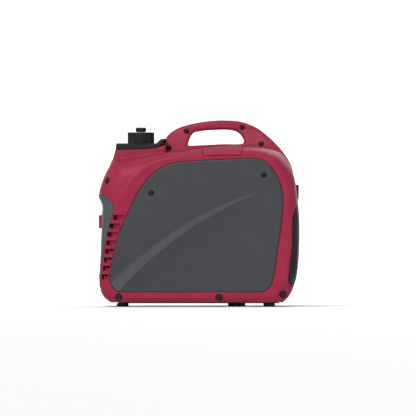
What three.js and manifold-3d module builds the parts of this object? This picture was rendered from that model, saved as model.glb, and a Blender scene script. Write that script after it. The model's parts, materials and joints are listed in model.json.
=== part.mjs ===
// A closed inverter generator of the suitcase kind, in millimetres.
// +X points to the exhaust end, -X to the control panel, -Y to the maintenance side and +Z up.
// The origin is on the floor, under the middle of the machine.
import * as THREE from 'three';
import { mergeVertices } from 'three/addons/utils/BufferGeometryUtils.js';
import { LoftGeometry } from 'three/addons/geometries/LoftGeometry.js';
import { RoundedBoxGeometry } from 'three/addons/geometries/RoundedBoxGeometry.js';
import Module from 'manifold-3d';

const wasm = await Module();
wasm.setup();

// Driving dimensions
const LENGTH = 495;
const WIDTH = 290;
const HEIGHT = 458;
const GAP = 0.4;            // clearance between pieces that touch on the real machine
const WALL = 3;             // wall of the plastic shells
const SHELL_HALF = 142;     // half the width over the red shells
const END_ROUND = 42;       // plan radius of the shells' vertical corners
const SHELL_BASE = 9;       // height of the shells' lower edge
const FIN_HALF = 54;        // half the width of the handle's root
const GRIP_HALF = 20;       // half the width of the handle's grip
const TRAY_HALF = 78;       // half the width of the filler tray
const CRANK_Z = 130;        // height of the crankshaft's axis, which runs along X at y = 0
const CAP_X = -143;         // the filler's vertical axis
const CAP_R = 33;
const PULLEY_X = -142;      // middle of the recoil pulley
const PULLEY_R = 48;        // radius that the starter rope leaves from
const ROPE_R = 2;
const CYLINDER_X = 12;      // the engine cylinder's vertical axis
const KNOB_Z = 208.5;         // height of the engine switch knob
const FACE_X = -238;        // the control plate's outer face
const TRAY_TOP = 401;       // top of the filler tray
const NECK_TOP = 399;       // top of the fuel tank's filler neck

// Side outlines, as [x, z] points for a smooth closed curve
const SIDE = [
  [-205, 9], [-100, 8.5], [50, 8.5], [190, 8.5], [213, 16], [229, 38], [239, 70], [245, 110],
  [247.5, 160], [247.2, 215], [242.5, 262], [238, 302], [229, 334], [214, 364], [196, 380],
  [155, 392], [100, 397], [20, 391], [-60, 383], [-130, 372], [-185, 363], [-211, 359],
  [-226, 332], [-238, 305], [-247, 279], [-247, 262], [-242, 235], [-242, 190], [-243.5, 124],
  [-246, 66], [-240.6, 34], [-226, 15],
];
const FIN = [
  [-90, 372], [-87, 405], [-75, 422], [-44, 441.5], [-5, 451.5], [56, 457.5], [104, 454],
  [142, 439], [171, 417], [199.5, 388], [219, 358], [226, 338], [200, 330], [100, 345],
  [0, 345], [-70, 350],
];
const FINGER = [
  [-26, 396], [12, 397.5], [60, 399], [102, 399.5], [109.5, 406], [106, 417], [95, 427.5],
  [82, 433.5], [60, 435.5], [20, 434], [-5, 430.5], [-18, 422], [-24.5, 408],
];
const TRAY_SIDE = [
  [-205.5, 385], [-120, 387.6], [-104, 389.5], [-95, 394.5], [-88, 403], [-80, 411.8],
  [-95.5, 411.8], [-105, TRAY_TOP], [-204, TRAY_TOP],
];
const COVER = [
  [-190, 36.5], [-100, 36], [0, 36], [80, 36], [148, 36.5], [170, 45.5], [183, 75], [190.5, 125],
  [199, 187], [205, 240], [204, 280], [191, 319], [169, 352], [133, 363], [47, 360.5], [-20, 356.5],
  [-76, 349], [-113, 326], [-146, 286], [-177, 226], [-201, 167], [-216, 108], [-220.5, 70],
  [-212, 48],
];
const STEP = [
  [169, 294], [100, 265], [26, 220], [-47, 169], [-120, 113], [-198, 48], [-190, 41.5], [-100, 41],
  [0, 41], [80, 41], [146, 41.5], [166, 49.5], [178, 77], [185.5, 126], [194, 188], [200, 241],
  [197, 282],
];
const FRONT_EDGE = [
  [-241, 36], [-242, 60], [-239, 98], [-232, 142], [-223, 187], [-214, 222], [-209, 240],
  [-212, 254], [-223, 265], [-235, 275],
];
const REAR_EDGE = [
  [236, 238], [229, 222], [227.5, 175], [225, 130], [221, 92], [219, 64], [226, 48],
];

const COVER_SEAT = -138;    // face of the ledge that each side cover lies on
const STEP_UP = 3;          // height of the curved step on the side covers
const TRAY_FLOOR = 8.6;     // underside of the base tray
const NECK_R = 24;          // fuel tank's filler neck
const TANK_WALL = 2.5;
const ROPE_Z = CRANK_Z + PULLEY_R;
const FAN_X = -100;
const SHAFT_R = 10;
const EXHAUST_X = 200;
const EXHAUST_Y = 44;
const EXHAUST_Z = 190;
const LID = { left: 8, right: 104.8, inner: 60, base: 371.3 };
const GRIP = { left: -7, right: 88 };
const GRILLE = { half: 60, base: 262, top: 299 };
const PLUG = { tilt: -52, r: 5.4, seat: [CYLINDER_X, -37, 276] };
const PLUG_TIP = [
  CYLINDER_X,
  PLUG.seat[1] - 46 * Math.cos((PLUG.tilt * Math.PI) / 180),
  PLUG.seat[2] - 46 * Math.sin((PLUG.tilt * Math.PI) / 180),
];

// Recessed screws: x, z, radius of the seat and distance of its face from the middle plane
const SCREWS = [
  [-30.6, 430.4, 6.8, 24], [106, 439.8, 6.4, 20], [-74.5, 389.5, 7.4, 48], [152.4, 399.4, 7, 40],
  [-196.4, 23, 9, 139], [48.9, 22.8, 9, 139], [205.2, 30.1, 9, 139],
];

// Cooling slots beside the cover
const SLOTS = Array.from({ length: 8 }, (_, i) => ({
  z: 218.5 - 20.7 * i,
  left: -210 - 28 * (i / 7) ** 0.62,
  right: -184 - 39 * (i / 7) ** 0.72,
}));

// Control plate: sockets, lamps and the rocker switch
const ROCKER = { y: 30, z: 196 };
const LAMP_Z = 172;
const LAMPS = [
  { name: 'output_lamp', colour: 'green', y: -70 }, { name: 'overload_lamp', colour: 'amber', y: -46 },
  { name: 'oil_lamp', colour: 'amber', y: -22 },
];
const SOCKETS = [
  { y: 44, z: 136, r: 17 }, { y: 44, z: 88, r: 17 }, { y: -8, z: 88, r: 13 },
  { y: -44, z: 98, r: 6 }, { y: -68, z: 98, r: 6 }, { y: -56, z: 74, r: 3 },
  { y: -46, z: KNOB_Z, r: 6 }, { y: -8, z: 132, r: 5.2 },
  ...LAMPS.map(({ y }) => ({ y, z: LAMP_Z, r: 3 })),
];

const COLOURS = {
  red: [0xa23a4a, 0.45, 0], grey: [0x484a4e, 0.5, 0], ash: [0x5b5d61, 0.5, 0],
  black: [0x2f2d30, 0.6, 0], rubber: [0x1c1c1d, 0.85, 0], steel: [0x9a9c9f, 0.35, 0.9],
  cast: [0x8d8f91, 0.55, 0.8], brass: [0xb08d46, 0.35, 0.9], copper: [0xa5623a, 0.4, 0.8],
  white: [0xdad8d0, 0.4, 0], amber: [0xd08a25, 0.3, 0], green: [0x3d8f4a, 0.3, 0],
  rope: [0xd5d1c6, 0.9, 0],
};

// Solids

function solid(geometry) {
  const bare = new THREE.BufferGeometry();
  bare.setAttribute('position', geometry.attributes.position);
  bare.setIndex(geometry.index);
  const merged = mergeVertices(bare, 1e-4);
  return new wasm.Manifold(new wasm.Mesh({
    numProp: 3,
    vertProperties: merged.attributes.position.array,
    triVerts: Uint32Array.from(merged.index.array),
  }));
}

function box(x0, x1, y0, y1, z0, z1) {
  const geometry = new THREE.BoxGeometry(x1 - x0, y1 - y0, z1 - z0);
  return solid(geometry.translate((x0 + x1) / 2, (y0 + y1) / 2, (z0 + z1) / 2));
}

function softBox(x0, x1, y0, y1, z0, z1, radius) {
  const geometry = new RoundedBoxGeometry(x1 - x0, y1 - y0, z1 - z0, 1, radius);
  return solid(geometry.translate((x0 + x1) / 2, (y0 + y1) / 2, (z0 + z1) / 2));
}

// Turns a solid made about +Z, or drawn in X and Y and raised along Z, so that Z points along axis.
const TURNS = {
  x: new THREE.Matrix4().set(0, 0, 1, 0, 1, 0, 0, 0, 0, 1, 0, 0, 0, 0, 0, 1),
  y: new THREE.Matrix4().set(1, 0, 0, 0, 0, 0, -1, 0, 0, 1, 0, 0, 0, 0, 0, 1),
  z: new THREE.Matrix4(),
};

// A prism of a [a, b] outline: [y, z] along x, [x, z] along -y from its high side, [x, y] along z.
function prism(axis, points, low, high, holes = []) {
  const shape = new THREE.Shape(points.map(([a, b]) => new THREE.Vector2(a, b)));
  shape.holes = holes.map((hole) => new THREE.Path(hole.map(([a, b]) => new THREE.Vector2(a, b))));
  const geometry = new THREE.ExtrudeGeometry(shape, { depth: high - low, bevelEnabled: false });
  geometry.applyMatrix4(TURNS[axis]);
  const shift = { x: [low, 0, 0], y: [0, high, 0], z: [0, 0, low] }[axis];
  return solid(geometry.translate(...shift));
}

// A turned solid about an axis; profile holds [radius, height] from the axis and back to it.
function turned(axis, profile, at, sides = 20) {
  const points = profile.map(([r, h]) => new THREE.Vector2(r, h));
  const geometry = new THREE.LatheGeometry(points, sides).rotateX(Math.PI / 2);
  if (axis === 'x') geometry.rotateY(Math.PI / 2);
  if (axis === 'y') geometry.rotateX(-Math.PI / 2);
  return solid(geometry.translate(...at));
}

function disc(axis, radius, low, high, at, sides = 20) {
  return turned(axis, [[0, low], [radius, low], [radius, high], [0, high]], at, sides);
}

function ring(axis, inner, outer, low, high, at, sides = 20) {
  const profile = [[inner, low], [outer, low], [outer, high], [inner, high], [inner, low]];
  return turned(axis, profile, at, sides);
}

function tube(points, radius, steps, sides = 10) {
  const path = new THREE.CatmullRomCurve3(points.map((p) => new THREE.Vector3(...p)));
  const angles = Array.from({ length: sides }, (_, i) => (i / sides) * 2 * Math.PI);
  const shape = new THREE.Shape(angles.map(
    (a) => new THREE.Vector2(radius * Math.cos(a), radius * Math.sin(a)),
  ));
  return solid(new THREE.ExtrudeGeometry(shape, { steps, extrudePath: path }));
}

function smooth(points, count) {
  const curve = new THREE.CatmullRomCurve3(
    points.map(([a, b]) => new THREE.Vector3(a, b, 0)), true, 'centripetal',
  );
  return curve.getSpacedPoints(count).slice(0, count).map((p) => [p.x, p.y]);
}

// Moves each corner of a closed anticlockwise outline inwards by distance.
function inset(points, distance) {
  const count = points.length;
  return points.map(([x, z], i) => {
    const before = points[(i + count - 1) % count];
    const after = points[(i + 1) % count];
    const dx = after[0] - before[0];
    const dz = after[1] - before[1];
    const length = Math.hypot(dx, dz);
    return [x - (distance * dz) / length, z + (distance * dx) / length];
  });
}

function mirrored(points) {
  return [...points, ...points.slice().reverse().map(([y, z]) => [-y, z])];
}

function join(first, ...others) {
  return others.reduce((sum, next) => sum.add(next), first);
}

function cut(first, ...others) {
  return others.reduce((rest, next) => rest.subtract(next), first);
}

// The outer body

const sideOutline = smooth(SIDE, 48);
const finOutline = smooth(FIN, 32).reverse();
const fingerOutline = smooth(FINGER, 18);
const coverOutline = smooth(COVER, 36);

function between(x, table) {
  const next = table.findIndex(([key]) => key >= x);
  if (next <= 0) return next === 0 ? table[0][1] : table[table.length - 1][1];
  const [x0, v0] = table[next - 1];
  const [x1, v1] = table[next];
  return v0 + ((v1 - v0) * (x - x0)) / (x1 - x0);
}

// Height where the side wall starts to turn in, and height and half-width where the turn ends
const RIM = [
  [-212, 226], [-187, 282], [-148, 329], [-108, 355], [-31, 370], [60, 376], [126, 376],
  [161, 368], [200, 337], [225, 275], [235, 249],
];
const DECK = [[-212, 360], [-128, 372], [-50, 384], [40, 392], [126, 396], [180, 386], [210, 372]];
const DECK_HALF = [[-95, TRAY_HALF + 2], [-60, FIN_HALF]];

function section(x, depth) {
  const past = Math.max(0, Math.abs(x) - (LENGTH / 2 - END_ROUND));
  const round = END_ROUND - Math.sqrt(Math.max(0, END_ROUND ** 2 - past ** 2));
  const half = SHELL_HALF - round - depth;
  const rim = between(x, RIM);
  const deck = between(x, DECK) + 2 - depth;
  const deckHalf = Math.min(between(x, DECK_HALF) - depth, half - 8);
  const low = SHELL_BASE - 2 + depth;
  const side = [[half - 18, low], [half - 5, low + 8], [half, low + 26], [half, rim]];
  const turn = [0.35, 0.7, 1.1, Math.PI / 2].map((angle) => [
    deckHalf + (half - deckHalf) * Math.cos(angle), rim + (deck - rim) * Math.sin(angle),
  ]);
  return mirrored([...side, ...turn]).map(([y, z]) => new THREE.Vector3(x, y, z));
}

const STATIONS = [
  -247.5, -245, -239, -228, -214, -200, -182, -155, -125, -95, -60, -10, 60, 126, 161, 190, 210,
  225, 237, 245, 247.5,
];

// The body without its handle, moved inwards by depth. The inside is made with fewer facets.
function lowBody(depth) {
  const step = depth > 0 ? 2 : 1;
  const shrink = 1 - (2 * depth) / LENGTH;
  const stations = STATIONS.filter((_, i) => i % step === 0);
  const sections = stations.map((x) => section(x * shrink, depth));
  const loft = solid(new LoftGeometry(sections, { capStart: true, capEnd: true }));
  const side = inset(sideOutline, depth).filter((_, i) => i % step === 0);
  return loft.intersect(prism('y', side, -200, 200));
}

const FIN_PROFILE = [
  [FIN_HALF, 300], [FIN_HALF, 378], [46, 390], [36, 403], [26, 420], [GRIP_HALF + 1, 436],
  [GRIP_HALF - 2, 450], [10, HEIGHT + 2],
];

function fin(depth) {
  const profile = mirrored(FIN_PROFILE.map(([y, z]) => [y - depth, z]));
  const body = prism('y', inset(finOutline, depth), -100, 100);
  return body.intersect(prism('x', profile, -120, 240));
}

function pedestal(depth) {
  const side = [
    [-219 + depth, 330], [-80, 330], [-80, 394 - depth], [-204 + depth, 388 - depth],
  ];
  const half = TRAY_HALF - depth;
  const profile = mirrored([[half + 3, 320], [half, 370], [half - 3, 400]]);
  return prism('y', side, -100, 100).intersect(prism('x', profile, -230, -60));
}

const fingerHole = (grow) => prism('y', inset(fingerOutline, -grow), -100, 100);
const outer = join(lowBody(0), fin(0), pedestal(0)).subtract(fingerHole(0));
const roof = box(-300, 300, -200, 200, 418, 500);
const inner = cut(join(lowBody(WALL), fin(WALL), pedestal(WALL)), fingerHole(WALL), roof);
const skin = outer.subtract(inner);

// Regions of the two ends, and the parting faces of the pieces set into the shells

function frontRegion(grow) {
  return prism('y', inset([[-320, 26], ...FRONT_EDGE, [-320, 281]], -grow), -200, 200);
}

function rearRegion(grow) {
  return prism('y', inset([[320, 38], [320, 256], ...REAR_EDGE], -grow), -200, 200);
}

const lidZone = (grow) => softBox(
  LID.left - grow, LID.right + grow, -150, -LID.inner + grow, LID.base - grow, 430, 6,
);
const grilleZone = (grow) => box(
  214 - grow, 300, -GRILLE.half - grow, GRILLE.half + grow, GRILLE.base - grow, GRILLE.top + grow,
);
const gripZone = (grow) => box(GRIP.left - grow, GRIP.right + grow, -60, 60, 426, 480);

function gripCore(depth) {
  const profile = mirrored(FIN_PROFILE.map(([y, z]) => [y - depth, z]));
  const core = prism('y', inset(finOutline, depth), -100, 100);
  return core.intersect(prism('x', profile, -120, 240)).subtract(fingerHole(depth - 1));
}

function gripSleeve(grow) {
  const around = fin(-grow).subtract(fingerHole(-1.2 - grow));
  return around.intersect(gripZone(grow)).subtract(gripCore(WALL + grow));
}

function slotCuts() {
  return SLOTS.map(({ left, right, z }) => box(left, right, -150, -96, z - 3.5, z + 3.5));
}

function screwSeats() {
  return SCREWS.map(([x, z, r, face]) => disc('y', r, -1, 7, [x, -face, z], 10));
}

// Half of the case, on the -Y side
function caseHalf() {
  const half = skin.intersect(box(-300, 300, -200, -GAP / 2, -10, 500));
  const recess = prism('y', inset(coverOutline, -GAP), -160, COVER_SEAT);
  const ledge = prism(
    'y', inset(coverOutline, -5), COVER_SEAT, COVER_SEAT + 3, [inset(coverOutline, 8)],
  );
  const window = prism('y', inset(coverOutline, 8), -160, -110);
  const chimney = box(-197, -98, -70, 70, 366, 420);
  return cut(
    join(half.subtract(recess), ledge), window, ...slotCuts(), ...screwSeats(), chimney,
    frontRegion(GAP), rearRegion(GAP), gripSleeve(GAP), grilleZone(GAP),
    box(-226, 222, -124, 10, -5, 12), prism('y', inset(TRAY_SIDE, -GAP), -100, 100),
  );
}

const nearShell = () => caseHalf().subtract(lidZone(GAP));
const farShell = () => caseHalf().mirror([0, 1, 0]);

// The cover is thin above the curved step and stands proud below it.
function sideCover() {
  const plate = prism('y', coverOutline, 1 - WIDTH / 2 + STEP_UP, COVER_SEAT - GAP);
  const proud = prism('y', smooth(STEP, 32).reverse(), -WIDTH / 2, COVER_SEAT - GAP);
  return join(plate, proud);
}

function baseTray() {
  const outline = [[-198, -95], [-184, -120], [184, -120], [196, -95], [196, 95], [184, 120],
    [-184, 120], [-198, 95]];
  const floor = prism('z', outline, TRAY_FLOOR, TRAY_FLOOR + 3);
  const ribs = [-110, 0, 110].map((x) => box(x - 3, x + 3, -118, 118, TRAY_FLOOR + 2.9, 15));
  return join(floor, ...ribs, box(71, 113, -60, 60, 1.5, TRAY_FLOOR + 0.1));
}

function foot() {
  return turned('z', [[0, 0], [12, 0], [14, 2], [14, TRAY_FLOOR - GAP], [0, TRAY_FLOOR - GAP]],
    [0, 0, 0], 20);
}

// Control end

function frontPanel() {
  const shape = outer.subtract(inner).intersect(frontRegion(0));
  const backing = lowBody(2).subtract(lowBody(2 + WALL)).intersect(frontRegion(0));
  const opening = box(-300, -200, -86, 86, 62, 236);
  return cut(join(shape, backing), opening);
}

function controlPlate() {
  const plate = softBox(FACE_X, FACE_X + 4, -85.5, 85.5, 62.5, 235.5, 1.8);
  const sockets = SOCKETS.map(({ y, z, r }) => disc('x', r * 1.06 + GAP, -10, 10, [FACE_X, y, z], 10));
  const slot = box(FACE_X - 5, FACE_X + 8, ROCKER.y - 8.6, ROCKER.y + 8.6, ROCKER.z - 14.6,
    ROCKER.z + 14.6);
  return cut(plate, ...sockets, slot);
}

// A round mains outlet: a flanged drum with three contact slots
function mainsOutlet() {
  const drum = turned('x', [[0, -2], [20, -2], [21.5, -0.6], [21.5, -GAP], [17, -GAP], [17, 26],
    [0, 26]], [0, 0, 0]);
  const slots = [[-6.5, 3], [6.5, 3]].map(([y, z]) => box(-3, 14, y - 1.2, y + 1.2, z - 5, z + 5));
  return cut(drum, ...slots, disc('x', 3, -3, 14, [0, 0, -9], 12));
}

function dcOutlet() {
  return turned('x', [[10.5, -2], [15, -2], [16.5, -0.6], [16.5, -GAP], [13, -GAP], [13, 26],
    [0, 26], [0, 24], [10.5, 24], [10.5, -2]], [0, 0, 0]);
}

function parallelSocket() {
  const drum = turned('x', [[0, -3], [7, -3], [9, -1], [9, -GAP], [6, -GAP], [6, 22], [0, 22]],
    [0, 0, 0], 24);
  return drum.subtract(disc('x', 2.6, -4, 16, [0, 0, 0], 16));
}

function groundScrew() {
  const stud = turned('x', [[0, -9], [2.8, -9], [2.8, -5], [6.5, -5], [6.5, -GAP], [3, -GAP],
    [3, 12], [0, 12]], [0, 0, 0], 18);
  return stud.subtract(box(-10, -8, -0.6, 0.6, -4, 4));
}

function knobBody() {
  const stem = turned('x', [[0, -8.7], [15, -8.7], [17, -7], [17.5, -GAP], [6, -GAP], [6, 14],
    [0, 14]], [0, 0, 0], 32);
  const scoop = disc('z', 11, -30, 30, [-13.5, 0, 0], 24);
  const sides = [-1, 1].map((side) => scoop.translate([0, side * 13.5, 0]));
  return cut(stem, ...sides);
}

function rocker() {
  const outline = [[6, -13], [-2.6, -13], [0.2, 0], [-5, 13], [6, 13]];
  return prism('y', outline.reverse(), -7.8, 7.8);
}

function breakerButton() {
  return turned('x', [[0, -4], [4.5, -4], [5.2, -3], [5.2, 8], [0, 8]], [0, 0, 0], 20);
}

function lamp() {
  return turned('x', [[0, -2], [2.2, -1.6], [3, -GAP], [3, 8], [0, 8]], [0, 0, 0], 16);
}

// Exhaust end

function rearCover() {
  const shape = skin.intersect(rearRegion(0));
  const slots = Array.from({ length: 6 }, (_, i) => {
    const z = 70 + 22 * i;
    return box(200, 300, -80, -4, z - 5, z + 5);
  });
  return cut(shape, ...slots, disc('x', 24, 200, 300, [0, EXHAUST_Y, EXHAUST_Z], 32));
}

function rearGrille() {
  const block = grilleZone(0).intersect(box(200, 244.5, -80, 80, 250, 320)).subtract(lowBody(12));
  const slots = [270, 280.5, 291].map((z) => box(200, 300, -54, 54, z - 3, z + 3));
  return cut(block, ...slots);
}

function exhaustOutlet() {
  return turned('x', [[13.2, 8], [14.6, 8], [14.6, 44], [21, 46], [21, 49], [13.2, 49], [13.2, 8]],
    [EXHAUST_X - 5, EXHAUST_Y, EXHAUST_Z]);
}

// Filler

function fillerTray() {
  const profile = mirrored([[TRAY_HALF, 380], [TRAY_HALF, 398], [TRAY_HALF - 4, 425]]);
  const block = prism('y', TRAY_SIDE, -100, 100).intersect(prism('x', profile, -230, -60));
  const dish = turned('z', [[0, 394.5], [CAP_R + 12, 394.5], [CAP_R + 17, 430], [0, 430]],
    [CAP_X, 0, 0]);
  return cut(block, dish, disc('z', NECK_R + GAP, 380, 430, [CAP_X, 0, 0]), fin(-GAP));
}

function fuelCap() {
  const bowl = turned('z', [[0, 405], [26, 405], [26, 401.2], [CAP_R - 1, 401.2], [CAP_R, 403],
    [CAP_R, 425], [CAP_R - 2.5, 428], [0, 428]], [0, 0, 0], 24);
  const flutes = Array.from({ length: 12 }, (_, i) => {
    const angle = (i / 12) * 2 * Math.PI;
    const at = [(CAP_R + 3) * Math.cos(angle), (CAP_R + 3) * Math.sin(angle), 0];
    return disc('z', 4.6, 404, 430, at, 8);
  });
  return cut(bowl, ...flutes);
}

function capSeal() {
  return ring('z', 15, NECK_R, NECK_TOP + GAP, 404.6, [0, 0, 0], 24);
}

function ventKnob() {
  return turned('z', [[0, 428.4], [11, 428.4], [14.3, 432], [14.3, 435], [11.5, 440], [0, 440]],
    [0, 0, 0], 8);
}

// Handle

function sparkPlugCover() {
  const shape = outer.subtract(lowBody(WALL)).intersect(lidZone(0));
  return shape.intersect(box(-100, 100, -200, -LID.inner, 300, 420));
}

// Recoil starter

function recoilBezel() {
  const side = [[-174, 155], [-110, 155], [-104, 161], [-104, 195], [-110, 201], [-174, 201],
    [-180, 195], [-180, 161]];
  const cup = prism('y', side, 112, WIDTH / 2 - 2);
  const room = prism('y', inset(side, 3), 115, 200);
  return cut(cup, room, disc('y', 4, 100, 130, [PULLEY_X, 0, ROPE_Z], 20));
}

function bezelCut() {
  return box(-180.5, -103.5, 80, 200, 154.5, 201.5);
}

function recoilGrip() {
  const bar = softBox(PULLEY_X - 28, PULLEY_X + 28, 127, 143, ROPE_Z - 10, ROPE_Z + 10, 5);
  const neck = turned('y', [[0, 0], [6, 0], [9, 10], [0, 10]], [PULLEY_X, 118, ROPE_Z], 20);
  return cut(join(bar, neck), disc('y', ROPE_R + GAP, 110, 122, [PULLEY_X, 0, ROPE_Z], 16));
}

function starterRope() {
  return tube([[PULLEY_X, 4, ROPE_Z + 0.4], [PULLEY_X, 60, ROPE_Z], [PULLEY_X, 121, ROPE_Z]],
    ROPE_R, 12, 8);
}

function recoilHousing() {
  const cup = turned('x', [[0, -20], [66, -20], [68, -18], [68, 22], [66, 22], [66, -16],
    [8, -16], [8, -5], [6, -4.5], [6, 12], [0, 12]], [PULLEY_X, 0, CRANK_Z], 28);
  return cut(cup, box(PULLEY_X - 5, PULLEY_X + 5, 30, 80, ROPE_Z - 5, ROPE_Z + 5));
}

function recoilPulley() {
  return turned('x', [[6.4, -2], [52, -2], [52, -0.5], [PULLEY_R - 2.4, 0.5],
    [PULLEY_R - 2.4, 3.5], [52, 4.5], [52, 6], [40, 6], [40, 9], [6.4, 9], [6.4, -2]],
  [PULLEY_X - 2, 0, CRANK_Z], 28);
}

function recoilSpring() {
  const turns = 3.5;
  const count = 42;
  const spiral = (shift) => Array.from({ length: count + 1 }, (_, i) => {
    const angle = (i / count) * turns * 2 * Math.PI;
    const radius = 12 + (i / count) * 44 + shift;
    return [radius * Math.cos(angle), CRANK_Z + radius * Math.sin(angle)];
  });
  return prism('x', [...spiral(1.2), ...spiral(0).reverse()], PULLEY_X - 14, PULLEY_X - 5);
}

// Engine and alternator

function coolingFan() {
  const hub = disc('x', 22, -14, 0, [FAN_X, 0, CRANK_Z], 24);
  const plate = disc('x', 66, -3, 0, [FAN_X, 0, CRANK_Z], 32);
  const blades = Array.from({ length: 10 }, (_, i) => {
    const blade = box(-14, -2, -1.2, 1.2, 20, 64);
    return blade.rotate([36 * i, 0, 0]).translate([FAN_X, 0, CRANK_Z]);
  });
  return join(hub, plate, ...blades).subtract(disc('x', SHAFT_R, -200, 0, [0, 0, CRANK_Z], 20));
}

function rotor() {
  return turned('x', [[SHAFT_R, 0], [74, 0], [74, 50], [67, 50], [67, 5], [16, 5], [16, 10],
    [SHAFT_R, 10], [SHAFT_R, 0]], [FAN_X + 3, 0, CRANK_Z], 28);
}

function stator() {
  const hub = ring('x', 22, 34, 12, 50, [FAN_X + 3, 0, CRANK_Z]);
  const teeth = Array.from({ length: 9 }, (_, i) => {
    const tooth = join(box(14, 46, -5, 5, 30, 60), box(14, 46, -13, 13, 58, 64));
    return tooth.rotate([40 * i, 0, 0]).translate([FAN_X + 3, 0, CRANK_Z]);
  });
  return join(hub, ...teeth);
}

function fanShroud() {
  return turned('x', [[60, -18], [80, -18], [84, -14], [84, 62], [82, 62], [82, -13], [79, -16],
    [60, -16], [60, -18]], [FAN_X, 0, CRANK_Z], 28);
}

function crankshaft() {
  const shaft = turned('x', [[0, -14], [SHAFT_R - GAP, -14], [SHAFT_R - GAP, 180], [0, 180]],
    [FAN_X, 0, CRANK_Z], 16);
  const middle = CYLINDER_X;
  const pin = disc('x', 7, -16, 16, [middle, 0, CRANK_Z + 18], 20);
  const webs = [-1, 1].map((side) => {
    const x = middle + 12 * side;
    return join(disc('x', 14, -4, 4, [x, 0, CRANK_Z + 18], 20), disc('x', 26, -4, 4,
      [x, 0, CRANK_Z - 8], 24));
  });
  const gap = box(middle - 8, middle + 8, -30, 30, CRANK_Z - 30, CRANK_Z + 10.5);
  return join(cut(shaft, gap), pin, ...webs);
}

function crankcase() {
  const x0 = CYLINDER_X - 43;
  const x1 = CYLINDER_X + 48;
  const body = softBox(x0, x1, -56, 56, 62, 190, 10);
  const room = box(x0 + 7, x1 - 7, -48, 48, 70, 182);
  const bores = disc('x', SHAFT_R + GAP, -300, 300, [0, 0, CRANK_Z], 24);
  const top = disc('z', 24, 150, 220, [CYLINDER_X, 0, 0], 24);
  const filler = disc('y', 9, -80, -40, [CYLINDER_X + 20, 0, 92], 20);
  const boss = ring('x', 15, 21.5, -12, 0.5, [x0, 0, CRANK_Z], 28);
  return join(cut(body, room, bores, top, filler), boss);
}

function oilDipstick() {
  return turned('y', [[0, -6], [11, -6], [12, -4], [12, 3], [8, 3], [8, 16], [2, 16], [2, 38],
    [0, 38]], [0, 0, 0], 20);
}

function cylinderBlock() {
  const barrel = turned('z', [[22, 190.5], [31, 190.5], [31, 263], [22, 263], [22, 190.5]],
    [CYLINDER_X, 0, 0]);
  const head = box(CYLINDER_X - 36, CYLINDER_X + 36, -36, 36, 262, 286);
  const fins = Array.from({ length: 6 }, (_, i) => {
    const z = 200 + 10.5 * i;
    return box(CYLINDER_X - 38, CYLINDER_X + 38, -38, 38, z, z + 3);
  });
  const bore = disc('z', 22.3, 180, 262, [CYLINDER_X, 0, 0]);
  const plugHole = turned('y', [[0, -20], [11, -20], [11, -0.5], [PLUG.r, 0], [PLUG.r, 16],
    [0, 16]], [0, 0, 0], 12)
    .rotate([PLUG.tilt, 0, 0]).translate(PLUG.seat);
  return cut(join(barrel, head, ...fins), bore, plugHole);
}

function rockerCover() {
  return softBox(CYLINDER_X - 32, CYLINDER_X + 32, -26, 34, 286.5, 312, 8);
}

// Drawn along -Y from its seat, then tilted up
function sparkPlug() {
  return turned('y', [[0, -38], [2.5, -38], [2.5, -32], [5, -30], [5.5, -11], [9.5, -9],
    [9.5, -1], [5, -1], [5, 14], [0, 14]], [0, 0, 0], 12);
}

function plugLead() {
  const boot = turned('y', [[0, -48], [8, -48], [10, -36], [10, -13], [6.2, -13], [6.2, -39],
    [0, -39]], [0, 0, 0], 12).rotate([PLUG.tilt, 0, 0]).translate(PLUG.seat);
  const tip = PLUG_TIP;
  const lead = tube([tip, [CYLINDER_X - 10, -62, 349], [CYLINDER_X - 34, -20, 342],
    [CYLINDER_X - 50, 30, 300], [CYLINDER_X - 42, 62, 260], [CYLINDER_X - 40, 66, 245],
    [CYLINDER_X - 40, 66, 231]], 3.5, 20, 6);
  return join(boot, lead);
}

function ignitionCoil() {
  return join(softBox(CYLINDER_X - 62, CYLINDER_X - 22, 56, 78, 196, 230, 3),
    box(CYLINDER_X - 40, CYLINDER_X - 30, 50, 58, 196.5, 210));
}

function carburettor() {
  const bowl = turned('z', [[0, 226], [12, 226], [13, 228], [13, 240], [0, 240]],
    [CYLINDER_X, -66, 0], 24);
  const throat = ring('y', 8, 13, -92, -38.5, [CYLINDER_X, 0, 250], 24);
  return join(bowl, box(CYLINDER_X - 14, CYLINDER_X + 14, -80, -52, 239, 262), throat)
    .subtract(disc('y', 8, -93, -38, [CYLINDER_X, 0, 250], 24));
}

function airFilterBox() {
  const x0 = CYLINDER_X + 20;
  const body = softBox(x0, x0 + 88, -130, -84, 205, 290, 8);
  const room = softBox(x0 + 3, x0 + 85, -127, -87, 208, 287, 5);
  const duct = ring('x', 8, 12, -30, 4, [x0, -105, 250], 20);
  return cut(join(body, duct), room, disc('x', 8, -31, 10, [x0, -105, 250], 20));
}

function muffler() {
  const body = softBox(92, EXHAUST_X, -68, 68, 112, 272, 16);
  const room = softBox(94, EXHAUST_X - 2, -66, 66, 114, 270, 14);
  const mouth = [EXHAUST_X, EXHAUST_Y, EXHAUST_Z];
  const pipe = ring('x', 11.5, 12.6, -3, 30, mouth, 24);
  const inlet = tube([[CYLINDER_X + 39.5, 0, 272], [62, 0, 272], [80, 0, 264], [98, 0, 244]], 11, 7, 10);
  return cut(join(body.subtract(room), pipe, inlet), disc('x', 11.5, -5, 31, mouth, 24));
}

const SPOUT = [-66, -60, 0];  // fuel tank's outlet

function tankBody(depth) {
  const side = [[-205, 262], [-196, 226], [-60, 226], [-50, 236], [-50, 340], [-62, 362],
    [-110, 378], [-190, 366], [-205, 330]];
  const profile = mirrored([[104, 220], [108, 235], [108, 300], [74, 345], [66, 390]]);
  const narrow = profile.map(([y, z]) => [y - Math.sign(y) * depth, z]);
  return prism('y', inset(side.reverse(), -depth), -150, 150)
    .intersect(prism('x', narrow, -230, -20));
}

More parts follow.
